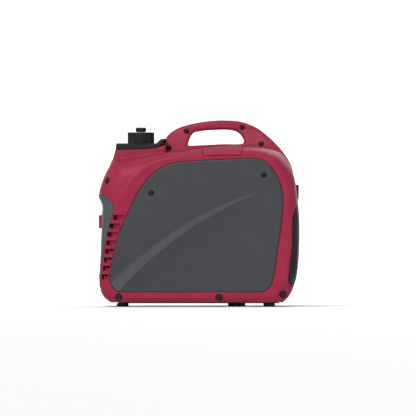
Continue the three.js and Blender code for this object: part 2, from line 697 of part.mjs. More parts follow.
function fuelTank() {
  const neck = disc('z', NECK_R, 350, NECK_TOP, [CAP_X, 0, 0]);
  const bore = disc('z', NECK_R - 2, 355, 410, [CAP_X, 0, 0]);
  const spout = ring('z', 2.5, 5, 214, 228, SPOUT, 14);
  const drain = disc('z', 2.5, 210, 232, SPOUT, 14);
  return cut(join(tankBody(0), neck, spout), tankBody(TANK_WALL), bore, drain);
}

function fuelStrainer() {
  return turned('z', [[0, 330], [16, 330], [18, 332], [18, 384], [NECK_R - 2.6, 384],
    [NECK_R - 2.6, 386], [16.5, 386], [16.5, 332], [0, 331.5]], [CAP_X, 0, 0], 20);
}

function fuelHose() {
  return tube([[-66, -60, 213.4], [-66, -60, 205], [-60, -66, 192], [-38, -84, 190],
    [-16, -82, 212], [-8, -68, 232], [CYLINDER_X - 14.5, -66, 234]], 3.5, 16, 6);
}

function inverterModule() {
  const body = softBox(-208, -172, -92, 92, 48, 168, 4);
  const fins = Array.from({ length: 12 }, (_, i) => {
    const y = -82 + 14.9 * i;
    return box(-173, -165, y - 1.2, y + 1.2, 54, 162);
  });
  return join(body, ...fins);
}

function engineMount() {
  return turned('z', [[0, 16], [16, 16], [12, 30], [12, 48], [16, 61.5], [0, 61.5]],
    [0, 0, 0], 20);
}

// Assembly

const group = new THREE.Group();

function add(name, colour, piece, at = [0, 0, 0]) {
  const { vertProperties, triVerts } = piece.getMesh();
  const geometry = new THREE.BufferGeometry();
  geometry.setAttribute('position', new THREE.BufferAttribute(vertProperties, 3));
  geometry.setIndex(new THREE.BufferAttribute(triVerts, 1));
  const [color, roughness, metalness] = COLOURS[colour];
  const material = new THREE.MeshStandardMaterial({ color, roughness, metalness });
  const mesh = new THREE.Mesh(geometry, material);
  mesh.name = name;
  mesh.position.set(...at);
  group.add(mesh);
}

function addCase() {
  add('near_shell', 'red', nearShell());
  add('far_shell', 'red', farShell());
  add('near_side_cover', 'grey', sideCover());
  add('far_side_cover', 'grey', sideCover().mirror([0, 1, 0]).subtract(bezelCut()));
  add('base_tray', 'black', baseTray());
  for (const [end, x] of [['front', -188], ['rear', 172]]) {
    add(`foot_${end}_near`, 'rubber', foot(), [x, -98, 0]);
    add(`foot_${end}_far`, 'rubber', foot(), [x, 98, 0]);
  }
  add('handle_grip', 'red', gripSleeve(0));
  add('spark_plug_cover', 'red', sparkPlugCover());
}

function addControls() {
  add('front_panel', 'ash', frontPanel());
  add('control_plate', 'black', controlPlate());
  add('mains_outlet_upper', 'black', mainsOutlet(), [FACE_X, 44, 136]);
  add('mains_outlet_lower', 'black', mainsOutlet(), [FACE_X, 44, 88]);
  add('dc_outlet', 'black', dcOutlet(), [FACE_X, -8, 88]);
  add('parallel_socket_red', 'red', parallelSocket(), [FACE_X, -44, 98]);
  add('parallel_socket_black', 'black', parallelSocket(), [FACE_X, -68, 98]);
  add('ground_screw', 'brass', groundScrew(), [FACE_X, -56, 74]);
  add('engine_knob', 'red', knobBody(), [FACE_X, -46, KNOB_Z]);
  add('economy_rocker', 'black', rocker(), [FACE_X, ROCKER.y, ROCKER.z]);
  add('breaker_button', 'black', breakerButton(), [FACE_X, -8, 132]);
  LAMPS.forEach(({ name, colour, y }) => add(name, colour, lamp(), [FACE_X, y, LAMP_Z]));
}

function addEnds() {
  add('rear_cover', 'black', rearCover());
  add('rear_grille', 'black', rearGrille());
  add('exhaust_outlet', 'steel', exhaustOutlet());
  add('filler_tray', 'black', fillerTray());
  add('cap_seal', 'rubber', capSeal(), [CAP_X, 0, 0]);
  add('fuel_cap', 'black', fuelCap(), [CAP_X, 0, 0]);
  add('vent_knob', 'black', ventKnob(), [CAP_X, 0, 0]);
}

function addStarter() {
  add('recoil_bezel', 'black', recoilBezel());
  add('recoil_grip', 'black', recoilGrip());
  add('starter_rope', 'rope', starterRope());
  add('recoil_housing', 'black', recoilHousing());
  add('recoil_pulley', 'white', recoilPulley());
  add('recoil_spring', 'steel', recoilSpring());
}

function addEngine() {
  add('cooling_fan', 'black', coolingFan());
  add('rotor', 'steel', rotor());
  add('stator', 'copper', stator());
  add('fan_shroud', 'black', fanShroud());
  add('crankshaft', 'steel', crankshaft());
  add('crankcase', 'cast', crankcase());
  add('oil_dipstick', 'black', oilDipstick(), [CYLINDER_X + 20, -59, 92]);
  add('cylinder_block', 'cast', cylinderBlock());
  add('rocker_cover', 'cast', rockerCover());
  add('spark_plug', 'white', sparkPlug().rotate([PLUG.tilt, 0, 0]), PLUG.seat);
  add('plug_lead', 'rubber', plugLead());
  add('ignition_coil', 'black', ignitionCoil());
  add('carburettor', 'cast', carburettor());
  add('air_filter_box', 'black', airFilterBox());
  add('muffler', 'steel', muffler());
  add('fuel_tank', 'black', fuelTank());
  add('fuel_strainer', 'white', fuelStrainer());
  add('fuel_hose', 'rubber', fuelHose());
  add('inverter_module', 'cast', inverterModule());
  add('engine_mount_front', 'rubber', engineMount(), [CYLINDER_X - 24, 0, 0]);
  add('engine_mount_rear', 'rubber', engineMount(), [CYLINDER_X + 30, 0, 0]);
}

addCase();
addControls();
addEnds();
addStarter();
addEngine();

export default group;
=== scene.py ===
"""Looks of a closed inverter generator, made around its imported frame.

The frame is in metres. The shape functions work in millimetres, in the frame's own axes: +X points to the
exhaust end, -X to the control panel, -Y to the maintenance side and +Z up.
"""

import json
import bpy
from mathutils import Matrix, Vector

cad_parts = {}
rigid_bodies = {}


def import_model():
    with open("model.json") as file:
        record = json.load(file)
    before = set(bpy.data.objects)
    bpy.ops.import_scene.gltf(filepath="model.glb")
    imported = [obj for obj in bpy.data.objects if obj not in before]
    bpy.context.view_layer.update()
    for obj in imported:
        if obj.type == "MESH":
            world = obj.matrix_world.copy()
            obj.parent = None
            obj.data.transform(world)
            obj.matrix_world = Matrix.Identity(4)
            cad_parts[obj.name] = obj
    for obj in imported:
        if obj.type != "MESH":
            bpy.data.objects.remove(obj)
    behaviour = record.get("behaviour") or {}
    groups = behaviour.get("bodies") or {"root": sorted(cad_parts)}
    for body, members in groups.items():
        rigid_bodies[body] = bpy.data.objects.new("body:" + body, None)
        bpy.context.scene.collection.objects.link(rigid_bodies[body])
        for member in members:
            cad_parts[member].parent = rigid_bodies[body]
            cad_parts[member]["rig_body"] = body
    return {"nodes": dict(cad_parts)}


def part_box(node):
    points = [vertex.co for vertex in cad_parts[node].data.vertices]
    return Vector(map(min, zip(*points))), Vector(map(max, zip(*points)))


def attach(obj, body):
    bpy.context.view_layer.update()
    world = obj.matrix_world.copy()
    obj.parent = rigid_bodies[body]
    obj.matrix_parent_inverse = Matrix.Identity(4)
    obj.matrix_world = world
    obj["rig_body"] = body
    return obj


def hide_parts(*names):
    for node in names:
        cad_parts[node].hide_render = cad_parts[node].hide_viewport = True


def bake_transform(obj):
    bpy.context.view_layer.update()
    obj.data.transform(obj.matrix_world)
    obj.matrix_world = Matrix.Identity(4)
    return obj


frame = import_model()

from types import SimpleNamespace

import bpy
import numpy as np
from bpy.props import FloatProperty, FloatVectorProperty, PointerProperty
from mathutils import Vector

bl_info = {
    "name": "Suitcase generator",
    "version": (1, 0, 0),
    "blender": (4, 5, 0),
    "location": "3D View > Sidebar > Generator",
    "description": "Builds the shells, covers, controls and fittings of a closed inverter generator",
    "category": "Add Mesh",
}

MM = 0.001
GAP = 0.5                    # visible gap between neighbouring mouldings
SHELL_HALF = 142.0           # half the width over the red shells
RIM_STEP = 2.6               # the rim round each side cover stands this much proud
WALL = 4.4                   # thickness of the mouldings' walls
FIN_HALF = 54.0              # half the width of the handle's root
COVER_PROUD = 144.8          # outer face of a side cover below its curved step
COVER_BACK = 138.5           # its inner face
TRAY_HALF = 78.0             # half the width of the filler tray
CAP_RADIUS = 33.0
CAP_FOOT, CAP_TOP = 399.8, 428.0
VENT_RADIUS = 14.3
FILLER_X = -143.0            # the axis of the filler, its cap and its vent
OUTLET_Y, OUTLET_Z = 44, 190  # the axis of the exhaust outlet
ROPE_X, ROPE_Z = -142, 178   # the axis of the starter rope
PANEL_FACE = -238.0          # outer face of the control plate

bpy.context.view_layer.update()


def node_box(node):
    """A node's lowest and highest corners, in millimetres."""
    low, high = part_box(node)
    return np.array(low) / MM, np.array(high) / MM


def node_middle(node):
    low, high = node_box(node)
    return (low + high) / 2


# ---------------------------------------------------------------- outlines in the side view, as [x, z]

BODY_SIDE = [
    (-205, 9), (-100, 8.5), (50, 8.5), (188, 8.5), (211, 15), (226, 33), (234, 52), (240.5, 76),
    (244.8, 112), (247.2, 160), (247.2, 210), (245, 242), (241.5, 275), (237.6, 305), (231.5, 329),
    (222, 352), (209, 371), (190, 384), (155, 393), (100, 397), (20, 391), (-60, 383), (-130, 372),
    (-185, 364), (-212, 360), (-221, 343), (-230, 327), (-238, 307), (-244, 287), (-247, 271),
    (-242.5, 259), (-238.6, 247), (-238.8, 225), (-240.8, 185), (-243.2, 124), (-246, 72),
    (-244.5, 46), (-236, 26), (-222, 13.5),
]
RIM = [
    (-219, 200), (-212, 226), (-199, 257), (-187, 282), (-167, 310), (-148, 329), (-128, 345),
    (-108, 355), (-70, 364.5), (-31, 370), (20, 374), (75, 377), (126, 377), (152, 372), (179, 357),
    (200, 334), (213, 303), (219, 262), (221, 210), (220, 150), (216, 95), (210, 60), (195, 34),
    (165, 24), (60, 22), (-80, 22), (-190, 23), (-215, 32), (-231, 52), (-238, 84), (-234, 120),
    (-227, 162),
]
FIN_SIDE = [
    (-104, 366), (-101, 396), (-88, 406), (-78, 419), (-65, 430.5), (-44, 441.5), (-5, 451.5),
    (30, 456), (62, 457.6), (104, 454), (142, 439), (171, 417), (186, 402.5), (199.7, 388),
    (210.7, 373), (219.5, 358), (226, 341), (216, 325), (100, 340), (0, 340), (-80, 345),
]
FINGER_HOLE = [
    (-26, 395.5), (0, 396.2), (30, 397.6), (60, 399), (101, 399), (108.5, 402.5), (109, 410),
    (104.5, 418.5), (97, 426), (84, 433.3), (66, 435.5), (40, 435), (20, 434), (-4, 430.6),
    (-16, 424), (-22.8, 413), (-26, 403),
]
COVER_SIDE = [
    (-190, 36.5), (-100, 36), (0, 36), (80, 36), (146, 36.5), (163, 41), (175, 52), (182, 72),
    (187, 97), (191.5, 132), (196.5, 167), (202, 210), (205.4, 250), (204.5, 278), (198, 304),
    (188, 324), (175, 344), (158, 357.5), (133, 363.4), (95, 363), (47, 360.6), (-5, 358),
    (-50, 354), (-76, 349), (-96, 339), (-115, 324), (-135, 303), (-155, 273), (-173, 235),
    (-190, 197), (-203, 158), (-213, 118), (-219, 84), (-219.5, 64), (-213, 49), (-203, 40),
]
FRONT_REGION = [
    (-320, 24), (-241, 34), (-242.5, 60), (-239, 98), (-232.5, 142), (-223, 187), (-213.5, 222),
    (-209.5, 241), (-212.5, 254), (-223, 265), (-235, 275), (-247, 279.5), (-320, 282),
]
REAR_REGION = [
    (320, 40), (320, 254), (244, 254), (235, 238), (229.5, 222), (227.6, 196), (227.6, 150),
    (225, 126), (221.5, 96), (218, 69), (221, 57), (228.5, 45),
]
TRAY_SIDE = [
    (-204.8, 384.6), (-143, 386.7), (-119, 387.8), (-104, 389.6), (-97, 392.8), (-91, 398.6), (-86, 406.5),
    (-80, 413), (-85, 412.2), (-93, 411.2), (-97, 409), (-104.5, 400.8), (-203.4, 400.8),
]
STEP_UPPER = [
    (-225, 50), (-205, 70), (-180, 94), (-155, 115.5), (-125, 139), (-95, 161.5), (-65, 183), (-35, 202.5),
    (-5, 220), (25, 235), (55, 249), (85, 262), (115, 272.5), (145, 282), (170, 290.5),
]
STEP_LOWER = [
    (-225, 8), (-205, 30), (-180, 56), (-155, 82), (-125, 111), (-95, 136), (-65, 160), (-35, 183), (-5, 203),
    (25, 220), (55, 237), (85, 253), (115, 266.5), (145, 279), (170, 290),
]
PLUG_COVER = ((8.0, 104.8), (371.3, 391.5))
GRIP_ZONE = (-7.0, 88.0)


def closed_curve(points, count=4):
    """Closed Catmull-Rom curve through points: each span blends its four nearest points by cubics."""
    p = np.array(points, float)
    a, b, c, d = (np.roll(p, shift, axis=0)[:, None, :] for shift in (1, 0, -1, -2))
    t = (np.arange(count) / count)[None, :, None]
    span = 0.5 * (2 * b + (c - a) * t + (2 * a - 5 * b + 4 * c - d) * t**2 + (3 * b - a - 3 * c + d) * t**3)
    return span.reshape(-1, 2)


def outline_distance(x, z, outline):
    """Signed distance to a closed outline, negative inside: the nearest point of every side, with the
    sign from how many sides a ray along +X crosses."""
    start = outline
    side = np.roll(outline, -1, axis=0) - outline
    best = np.full(x.shape, 1e9)
    inside = np.zeros(x.shape, bool)
    for (sx, sz), (ex, ez) in zip(start, side):
        px, pz = x - sx, z - sz
        t = np.clip((px * ex + pz * ez) / (ex * ex + ez * ez + 1e-12), 0, 1)
        best = np.minimum(best, (px - t * ex) ** 2 + (pz - t * ez) ** 2)
        crosses = (z >= min(sz, sz + ez)) & (z < max(sz, sz + ez))
        inside ^= crosses & (px < pz * ex / (ez if ez else 1e-12))
    return np.where(inside, -1, 1) * np.sqrt(best)


def softened(values, times=3):
    """Values on a grid, each blended with its neighbours in the ratio 1:2:1 along both axes, several times."""
    for _ in range(times):
        for axis in (0, 1):
            wide = np.pad(values, [(1, 1) if k == axis else (0, 0) for k in (0, 1)], mode="edge")
            low = np.take(wide, range(values.shape[axis]), axis)
            high = np.take(wide, range(2, values.shape[axis] + 2), axis)
            values = (low + 2 * values + high) / 4
    return values


class SideView:
    """A value that depends on x and z alone, held on a 1 mm grid and read between its points."""

    LOW = np.array([-262.0, -12.0])
    SIZE = (525, 485)
    X, Z = np.meshgrid(LOW[0] + np.arange(SIZE[0]), LOW[1] + np.arange(SIZE[1]), indexing="ij")

    def __init__(self, values):
        self.values = values

    @classmethod
    def outline(cls, points, smooth=9):
        shape = closed_curve(points, smooth) if smooth else np.array(points, float)
        distance = outline_distance(cls.X, cls.Z, shape)
        return cls(softened(distance) if smooth else distance)

    def __call__(self, x, z):
        u = np.clip(x - self.LOW[0], 0, self.SIZE[0] - 1.001)
        v = np.clip(z - self.LOW[1], 0, self.SIZE[1] - 1.001)
        i, j = u.astype(int), v.astype(int)
        u, v = u - i, v - j
        g = self.values
        low = g[i, j] * (1 - v) + g[i, j + 1] * v
        high = g[i + 1, j] * (1 - v) + g[i + 1, j + 1] * v
        return low * (1 - u) + high * u


def smoothstep(value, low, high):
    t = np.clip((value - low) / (high - low), 0, 1)
    return t * t * (3 - 2 * t)


def round_max(a, b, radius):
    """Intersection of two distance fields whose common edge is rounded to a radius."""
    u, v = np.maximum(a + radius, 0), np.maximum(b + radius, 0)
    return np.minimum(-radius, np.maximum(a, b)) + np.sqrt(u * u + v * v)


def round_min(a, b, radius):
    """Union of two distance fields with a fillet of a radius where they meet."""
    return -round_max(-a, -b, radius)


def box_distance(x, z, x0, x1, z0, z1, radius=0.0):
    """Signed distance to a rectangle with rounded corners, or to a rod of that section."""
    u = np.abs(x - (x0 + x1) / 2) - (x1 - x0) / 2 + radius
    v = np.abs(z - (z0 + z1) / 2) - (z1 - z0) / 2 + radius
    return np.hypot(np.maximum(u, 0), np.maximum(v, 0)) + np.minimum(np.maximum(u, v), 0) - radius


# ---------------------------------------------------------------- the moulded body

FIN_ROUND = 8.5              # rounding of the handle's edges
# The handle's half width at each height, as (height, half width)
FIN_PROFILE = (
    (300, FIN_HALF), (376, FIN_HALF), (388, 47), (402, 37), (418, 28), (434, 22), (450, 20), (470, 18),
)
# Air scoops as (height, left end, right end), screws as (x, z, pocket radius)
SCOOPS = [(218.5 - 20.7 * i, -210 - 28 * (i / 7) ** 0.62, -183.5 - 39.5 * (i / 7) ** 0.72) for i in range(8)]
FIN_SCREWS = ((-30.6, 430.4, 6.9), (106, 439.8, 6.5), (-74.5, 389.5, 7.4), (152.4, 399.4, 7.0))
FOOT_SCREWS = ((-196.4, 23.4, 9.4), (48.9, 22.8, 9.4), (205.2, 30.1, 9.4))
COVER_SCREWS = ((-117, 279, 6.9), (158.5, 322, 6.8))
CHEEK_SCREW = (-225.0, 309.0, 8.1)
CHEEK_AXIS = np.array([-0.62, -0.78, 0.10])
CHEEK_AXIS /= np.linalg.norm(CHEEK_AXIS)
TURN_STOP = 0.93             # share of the quarter ellipse that the sides follow


def side_views():
    """Distances and widths over the side view that every moulding shares."""
    v = SimpleNamespace()
    x, z = SideView.X, SideView.Z
    v.body = SideView.outline(BODY_SIDE)
    v.rim = SideView.outline(RIM)
    v.fin = SideView.outline(FIN_SIDE)
    v.hole = SideView.outline(FINGER_HOLE)
    v.cover = SideView.outline(COVER_SIDE)
    v.front = SideView.outline(FRONT_REGION, 0)
    v.rear = SideView.outline(REAR_REGION, 0)
    v.tray = SideView.outline(TRAY_SIDE, 0)
    # Half-width where the side wall has turned in: wide at the deck by the filler, narrow at the handle
    top = smoothstep(z, 290, 362) * smoothstep(x, 245, 205)
    bottom = smoothstep(z, 70, 22)
    deck = TRAY_HALF + 2 + (FIN_HALF - TRAY_HALF - 2) * smoothstep(x, -110, -50)
    ends = np.where(x < 0, 104 + 22 * smoothstep(z, 240, 90), 104)
    edge = ends * (1 - top) * (1 - bottom) + deck * top + 124 * bottom * (1 - top)
    # Quarter-ellipse turn from the rim out to the body's outline, stopped short of its whole reach
    out = np.maximum(v.rim.values, 0)
    reach = softened(TURN_STOP * out / np.maximum(out - v.body.values, 0.45 * out + 1e-6), 4)
    stop = np.sqrt(1 - TURN_STOP**2)
    side = softened(SHELL_HALF - RIM_STEP * smoothstep(v.rim.values, -2.0, 6.0))
    core = (softened(edge) - stop * side) / (1 - stop)
    v.reach = SideView(reach)
    v.side = SideView(side)
    v.core = SideView(core)
    v.climb = SideView(softened(np.hypot(*np.gradient(reach))))
    v.lean = SideView(softened(np.hypot(*np.gradient(core))))
    v.width = SideView(core + (side - core) * np.sqrt(1 - np.minimum(reach, TURN_STOP) ** 2))
    return v


VIEWS = side_views()


def low_side(x, a, z):
    """Distance from the turned-in sides: the ellipse's equation divided by the length of its gradient."""
    v = VIEWS
    reach, core = v.reach(x, z), v.core(x, z)
    span = v.side(x, z) - core
    up = np.maximum((a - core) / span, 0)
    whole = np.maximum(np.hypot(reach, up), 1e-6)
    across = reach * v.climb(x, z) + up * np.clip(1 - up, 0, 1) * v.lean(x, z) / span
    slope = np.hypot(across, up / span) / whole
    return (whole - 1) / np.maximum(slope, 0.004)


def arch(x, a, z):
    """The handle's fin without its finger hole: its outline in the side view and its width at each height."""
    width = np.interp(z, *zip(*FIN_PROFILE))
    return round_max(VIEWS.fin(x, z), (a - width) * 0.93, FIN_ROUND)


def width_at(x, z):
    """Half width of the turned-in sides at one point of the side view."""
    return float(VIEWS.width(np.array([x]), np.array([z]))[0])


def scoop_pockets(x, a, z):
    """Air scoops beside the cover: rounded rectangles with two floors, a deep one over the 0.36 of the length
    at the panel end and a shallow one over the rest, which rises to the right."""
    pockets = np.full(np.shape(x), 1e3)
    for zc, left, right in SCOOPS:
        t = np.clip((x - left) / (right - left), 0, 1)
        depth = np.where(t < 0.36, 15.0, 8.5 - 3.5 * t)
        floor = VIEWS.width(x, z) - depth
        rect = box_distance(x, z, left, right, zc - 6.2, zc + 6.2, 1.0)
        pockets = np.minimum(pockets, np.maximum(rect, floor - a))
    return pockets


def scoop_holes(x, a, z):
    """Small openings through the shallow floors of the lower four scoops, in their upper right corners."""
    holes = np.full(np.shape(x), 1e3)
    for zc, left, right in SCOOPS[4:]:
        notch = box_distance(x, z, right - 0.42 * (right - left), right - 0.6, zc + 0.8, zc + 6.0, 0.6)
        holes = np.minimum(holes, notch)
    return np.maximum(holes, 88 - a)


def cheek_point():
    """Where the cheek screw's axis meets the shell."""
    x, z, _ = CHEEK_SCREW
    return np.array([x, -width_at(x, z), z])


def along_cheek(x, y, z):
    """Distance from the cheek screw's axis, and height above the shell along it."""
    rel = np.stack([x, y, z], -1) - cheek_point()
    height = rel @ CHEEK_AXIS
    return np.sqrt(np.maximum((rel**2).sum(-1) - height**2, 0)), height


def surface_at(x, z):
    """Distance of the outside from the middle plane at a point of the side view."""
    a = np.arange(145.0, 5.0, -0.25)
    inside = outer_body(np.full(a.shape, float(x)), a, np.full(a.shape, float(z))) < 0
    return float(a[np.argmax(inside)])


def screw_pockets(x, a, z):
    """Round pockets for the recessed screws, sunk square to the side view."""
    pockets = np.full(np.shape(x), 1e3)
    for xc, zc, r in FIN_SCREWS:
        floor = surface_at(xc, zc) - 4.5
        pockets = np.minimum(pockets, round_max(np.hypot(x - xc, z - zc) - r, floor - a, 1.0))
    for xc, zc, r in FOOT_SCREWS:
        floor = width_at(xc, zc) - 3.2
        pockets = np.minimum(pockets, round_max(np.hypot(x - xc, z - zc) - r, floor - a, 0.6))
    r, height = along_cheek(x, -a, z)
    return np.minimum(pockets, round_max(r - CHEEK_SCREW[2], -height - 3.6, 0.5))


def outer_body(x, a, z):
    """The closed outside: a low body whose sides turn in, joined by a fillet to the handle's fin, with
    the finger hole through it. a is the distance from the middle plane."""
    v = VIEWS
    low = round_max(v.body(x, z), low_side(x, a, z), 7.0)
    pedestal_side = box_distance(x - 0.26 * (z - 366), z, -210.5, -84, 330, 396, 4)
    pedestal = round_max(pedestal_side, (a - TRAY_HALF - 0.12 * (388 - z)) * 0.97, 9.0)
    body = round_min(round_min(low, pedestal, 3.5), arch(x, a, z), 7.0)
    return round_max(body, -v.hole(x, z), 9.0)


def shell_field(x, y, z):
    """One red shell: the outside with its pockets, one wall thick, cut where the other mouldings sit."""
    v = VIEWS
    a = np.abs(y)
    body = outer_body(x, a, z)
    cover = v.cover(x, z)
    seat = np.maximum(cover - GAP, COVER_BACK - 0.4 - a)
    skin = round_max(body, -seat, 0.8)
    skin = round_max(skin, -scoop_pockets(x, a, z), 0.5)
    skin = np.maximum(skin, -screw_pockets(x, a, z))
    inner = np.maximum(skin + WALL, z - 417)
    shell = np.maximum(skin, -inner)
    window = np.maximum(cover + 8, 100 - a)
    shell = np.maximum(shell, -window)
    tray = np.maximum(v.tray(x, z) - GAP, a - TRAY_HALF - 30)
    under_tray = np.maximum(box_distance(x, z, -194, -100, 372, 430, 3), a - 68)
    base = np.maximum(box_distance(x, z, -202, 200, -20, 12.2, 1), a - 124)
    grille = np.maximum(box_distance(x, z, 222, 300, 261, 300, 2), a - 61)
    neck = np.maximum(np.hypot(x - FILLER_X, a) - 31, 300 - z)
    for cut in (tray, under_tray, scoop_holes(x, a, z), v.front(x, z) - GAP, v.rear(x, z) - GAP, base,
                grille - GAP, grip_zone(x, a, z, 0.15), neck):
        shell = np.maximum(shell, -cut)
    return np.maximum(shell, GAP / 2 - a)


def plug_zone(x, a, z):
    """Room of the spark plug cover, in from the side over the shoulder."""
    (x0, x1), (z0, z1) = PLUG_COVER
    return np.maximum(box_distance(x, z, x0, x1, z0, z1 + 30, 7), np.maximum(60 - a, a - 143))


def grip_zone(x, a, z, grow):
    """Room of the grip: a sleeve one wall thick round the arch, between its two seams."""
    x0, x1 = GRIP_ZONE
    core = round_max(arch(x, a, z), -VIEWS.hole(x, z), 9)
    ends = np.maximum(x0 - grow - x, x - x1 - grow)
    return np.maximum(np.maximum(ends, 426 - z), -(core + WALL + grow))


# ---------------------------------------------------------------- surfaces as meshes

CREASE_DEGREES = 32          # edges that turn by more than this are sharp


def contour(field, low, high, cell):
    """Mesh of the surface where a field of position is zero.

    A cubic grid is laid over the room. Each grid cell that the surface crosses gets one vertex, at the point
    that is nearest by least squares to the tangent planes where the surface crosses the cell's edges, so sharp
    edges stay sharp; a small weight holds it near their mean where the planes leave it free. Each vertex then
    takes one step along the field's slope to the surface. Each crossed grid edge gives one quad between its
    four cells."""
    axes = [np.arange(lo, hi + cell, cell) for lo, hi in zip(low, high)]
    size = np.array([len(a) for a in axes])
    x, y, z = np.meshgrid(*axes, indexing="ij", sparse=True)
    slabs = [field(*np.broadcast_arrays(x[i:i + 24], y, z)) for i in range(0, size[0], 24)]
    value = np.concatenate(slabs)
    inside = value < 0
    origin = np.array([a[0] for a in axes])
    points, normals, cells, loops = [], [], [], []
    probe = 0.22 * cell * np.array([(1, -1, -1), (-1, -1, 1), (-1, 1, -1), (1, 1, 1)])
    for axis in range(3):
        step = np.eye(3, dtype=int)[axis]
        u, w = np.eye(3, dtype=int)[[(axis + 1) % 3, (axis + 2) % 3]]
        here = tuple(slice(0, s - k) for s, k in zip(size, step))
        there = tuple(slice(k, s) for s, k in zip(size, step))
        edge = np.argwhere(inside[here] != inside[there])
        edge = edge[((edge > 0) & (edge < size - 2)).all(1)]
        first = value[tuple(edge.T)]
        second = value[tuple((edge + step).T)]
        t = np.clip(first / (first - second), 0, 1)
        base = origin + edge * cell
        lo_t, hi_t, lo_v, hi_v = np.zeros_like(t), np.ones_like(t), first, second
        for _ in range(3):
            p = base + (t * cell)[:, None] * step
            f = field(*p.T)
            low_side = (f < 0) == (lo_v < 0)
            lo_t, lo_v = np.where(low_side, t, lo_t), np.where(low_side, f, lo_v)
            hi_t, hi_v = np.where(low_side, hi_t, t), np.where(low_side, hi_v, f)
            t = lo_t + (hi_t - lo_t) * np.clip(lo_v / np.where(lo_v == hi_v, 1, lo_v - hi_v), 0.02, 0.98)
        p = base + (t * cell)[:, None] * step
        n = sum(k * field(*(p + k).T)[:, None] for k in probe)
        n /= np.maximum(np.linalg.norm(n, axis=1, keepdims=True), 1e-9)
        around = np.stack([edge - u - w, edge - w, edge, edge - u], 1)
        flat = np.ravel_multi_index(tuple(around.reshape(-1, 3).T), tuple(size)).reshape(-1, 4)
        points.append(np.repeat(p, 4, axis=0))
        normals.append(np.repeat(n, 4, axis=0))
        cells.append(flat.ravel())
        loops.append(np.where((first < 0)[:, None], flat, flat[:, ::-1]))
    points, normals = np.concatenate(points), np.concatenate(normals)
    used, index = np.unique(np.concatenate(cells), return_inverse=True)
    total = len(used)

    def gather(weights):
        return np.bincount(index, weights, total)

    centre = np.stack([gather(points[:, k]) for k in range(3)], -1) / gather(None)[:, None]
    offset = ((points - centre[index]) * normals).sum(1)
    right = np.stack([gather(normals[:, k] * offset) for k in range(3)], -1)
    left = np.empty((total, 3, 3))
    for i in range(3):
        for j in range(i, 3):
            left[:, i, j] = left[:, j, i] = gather(normals[:, i] * normals[:, j])
    left += 0.09 * np.eye(3)
    vertex = centre + np.linalg.solve(left, right[:, :, None])[:, :, 0]
    corner = origin + np.stack(np.unravel_index(used, tuple(size)), -1) * cell
    vertex = np.clip(vertex, corner - 0.02 * cell, corner + 1.02 * cell)
    short = 0.25 * probe
    slope = sum(k * field(*(vertex + k).T)[:, None] for k in short) / (short**2).sum(0)
    off = field(*vertex.T)[:, None] / np.maximum((slope**2).sum(1, keepdims=True), 0.3)
    vertex = vertex - slope * np.clip(off, -0.4 * cell, 0.4 * cell)
    quads = np.searchsorted(used, np.concatenate(loops))
    return vertex, quads


def grid_faces(rows, columns, closed_rows=False, closed_columns=True):
    """Quads of a grid of vertices, wrapped along its rows or columns where they close."""
    i = np.arange(rows if closed_rows else rows - 1)[:, None]
    j = np.arange(columns if closed_columns else columns - 1)[None, :]
    i2, j2 = (i + 1) % rows, (j + 1) % columns
    corners = i * columns + j, i * columns + j2, i2 * columns + j2, i2 * columns + j
    return np.stack(np.broadcast_arrays(*corners), -1).reshape(-1, 4)


def turned(profile, sides=64, lobes=None):
    """Closed solid of revolution about +Z. profile is [radius, height] from the axis, up the outside and back
    to the axis, going anticlockwise; lobes(angle, radius, height) scales the radius with the angle."""
    profile = np.array(profile, float)
    ring = profile[1:-1]
    angle = np.linspace(0, 2 * np.pi, sides, endpoint=False)
    radius = np.repeat(ring[:, :1], sides, 1)
    height = np.repeat(ring[:, 1:], sides, 1)
    if lobes:
        radius = radius * lobes(angle[None, :], radius, height)
    wall = np.stack([radius * np.cos(angle), radius * np.sin(angle), height], -1).reshape(-1, 3)
    poles = np.array([[0, 0, profile[0, 1]], [0, 0, profile[-1, 1]]])
    n = len(wall)
    faces = grid_faces(len(ring), sides)
    j = np.arange(sides)
    first = np.stack([np.full(sides, n), (j + 1) % sides, j], -1)
    last = np.stack([np.full(sides, n + 1), n - sides + j, n - sides + (j + 1) % sides], -1)
    return np.concatenate([wall, poles]), [faces, first, last]


def soft_profile(corners, radius=0.8, steps=4):
    """Profile through corners with each inner corner turned by an arc: a quadratic blend between the points
    where the arc leaves the two straight lines."""
    p = np.array(corners, float)
    out = [p[:1]]
    for a, b, c in zip(p[:-2], p[1:-1], p[2:]):
        la, lc = np.linalg.norm(a - b), np.linalg.norm(c - b)
        r = min(radius, 0.45 * la, 0.45 * lc)
        start, end = b + (a - b) * r / la, b + (c - b) * r / lc
        t = np.linspace(0, 1, steps)[:, None]
        out.append((1 - t) ** 2 * start + 2 * t * (1 - t) * b + t**2 * end)
    out.append(p[-1:])
    return np.concatenate(out)


def joined(*parts):
    """Several closed surfaces as one: their vertices one after another, with the faces renumbered."""
    vertices, faces, start = [], [], 0
    for part_vertices, part_faces in parts:
        vertices.append(part_vertices)
        faces += [block + start for block in part_faces]
        start += len(part_vertices)
    return np.concatenate(vertices), faces


def aimed(shape, axis, at=(0, 0, 0)):
    """Turns a shape made about +Z so that its +Z points along axis, and moves it to at."""
    vertices, faces = shape
    turn = Vector((0, 0, 1)).rotation_difference(Vector(axis)).to_matrix()
    return vertices @ np.array(turn).T + np.array(at, float), faces


def mirrored(shape):
    """The same shape on the other side of the middle plane, with its faces turned to point out again."""
    vertices, faces = shape
    return vertices * [1, -1, 1], [block[:, ::-1] for block in faces]


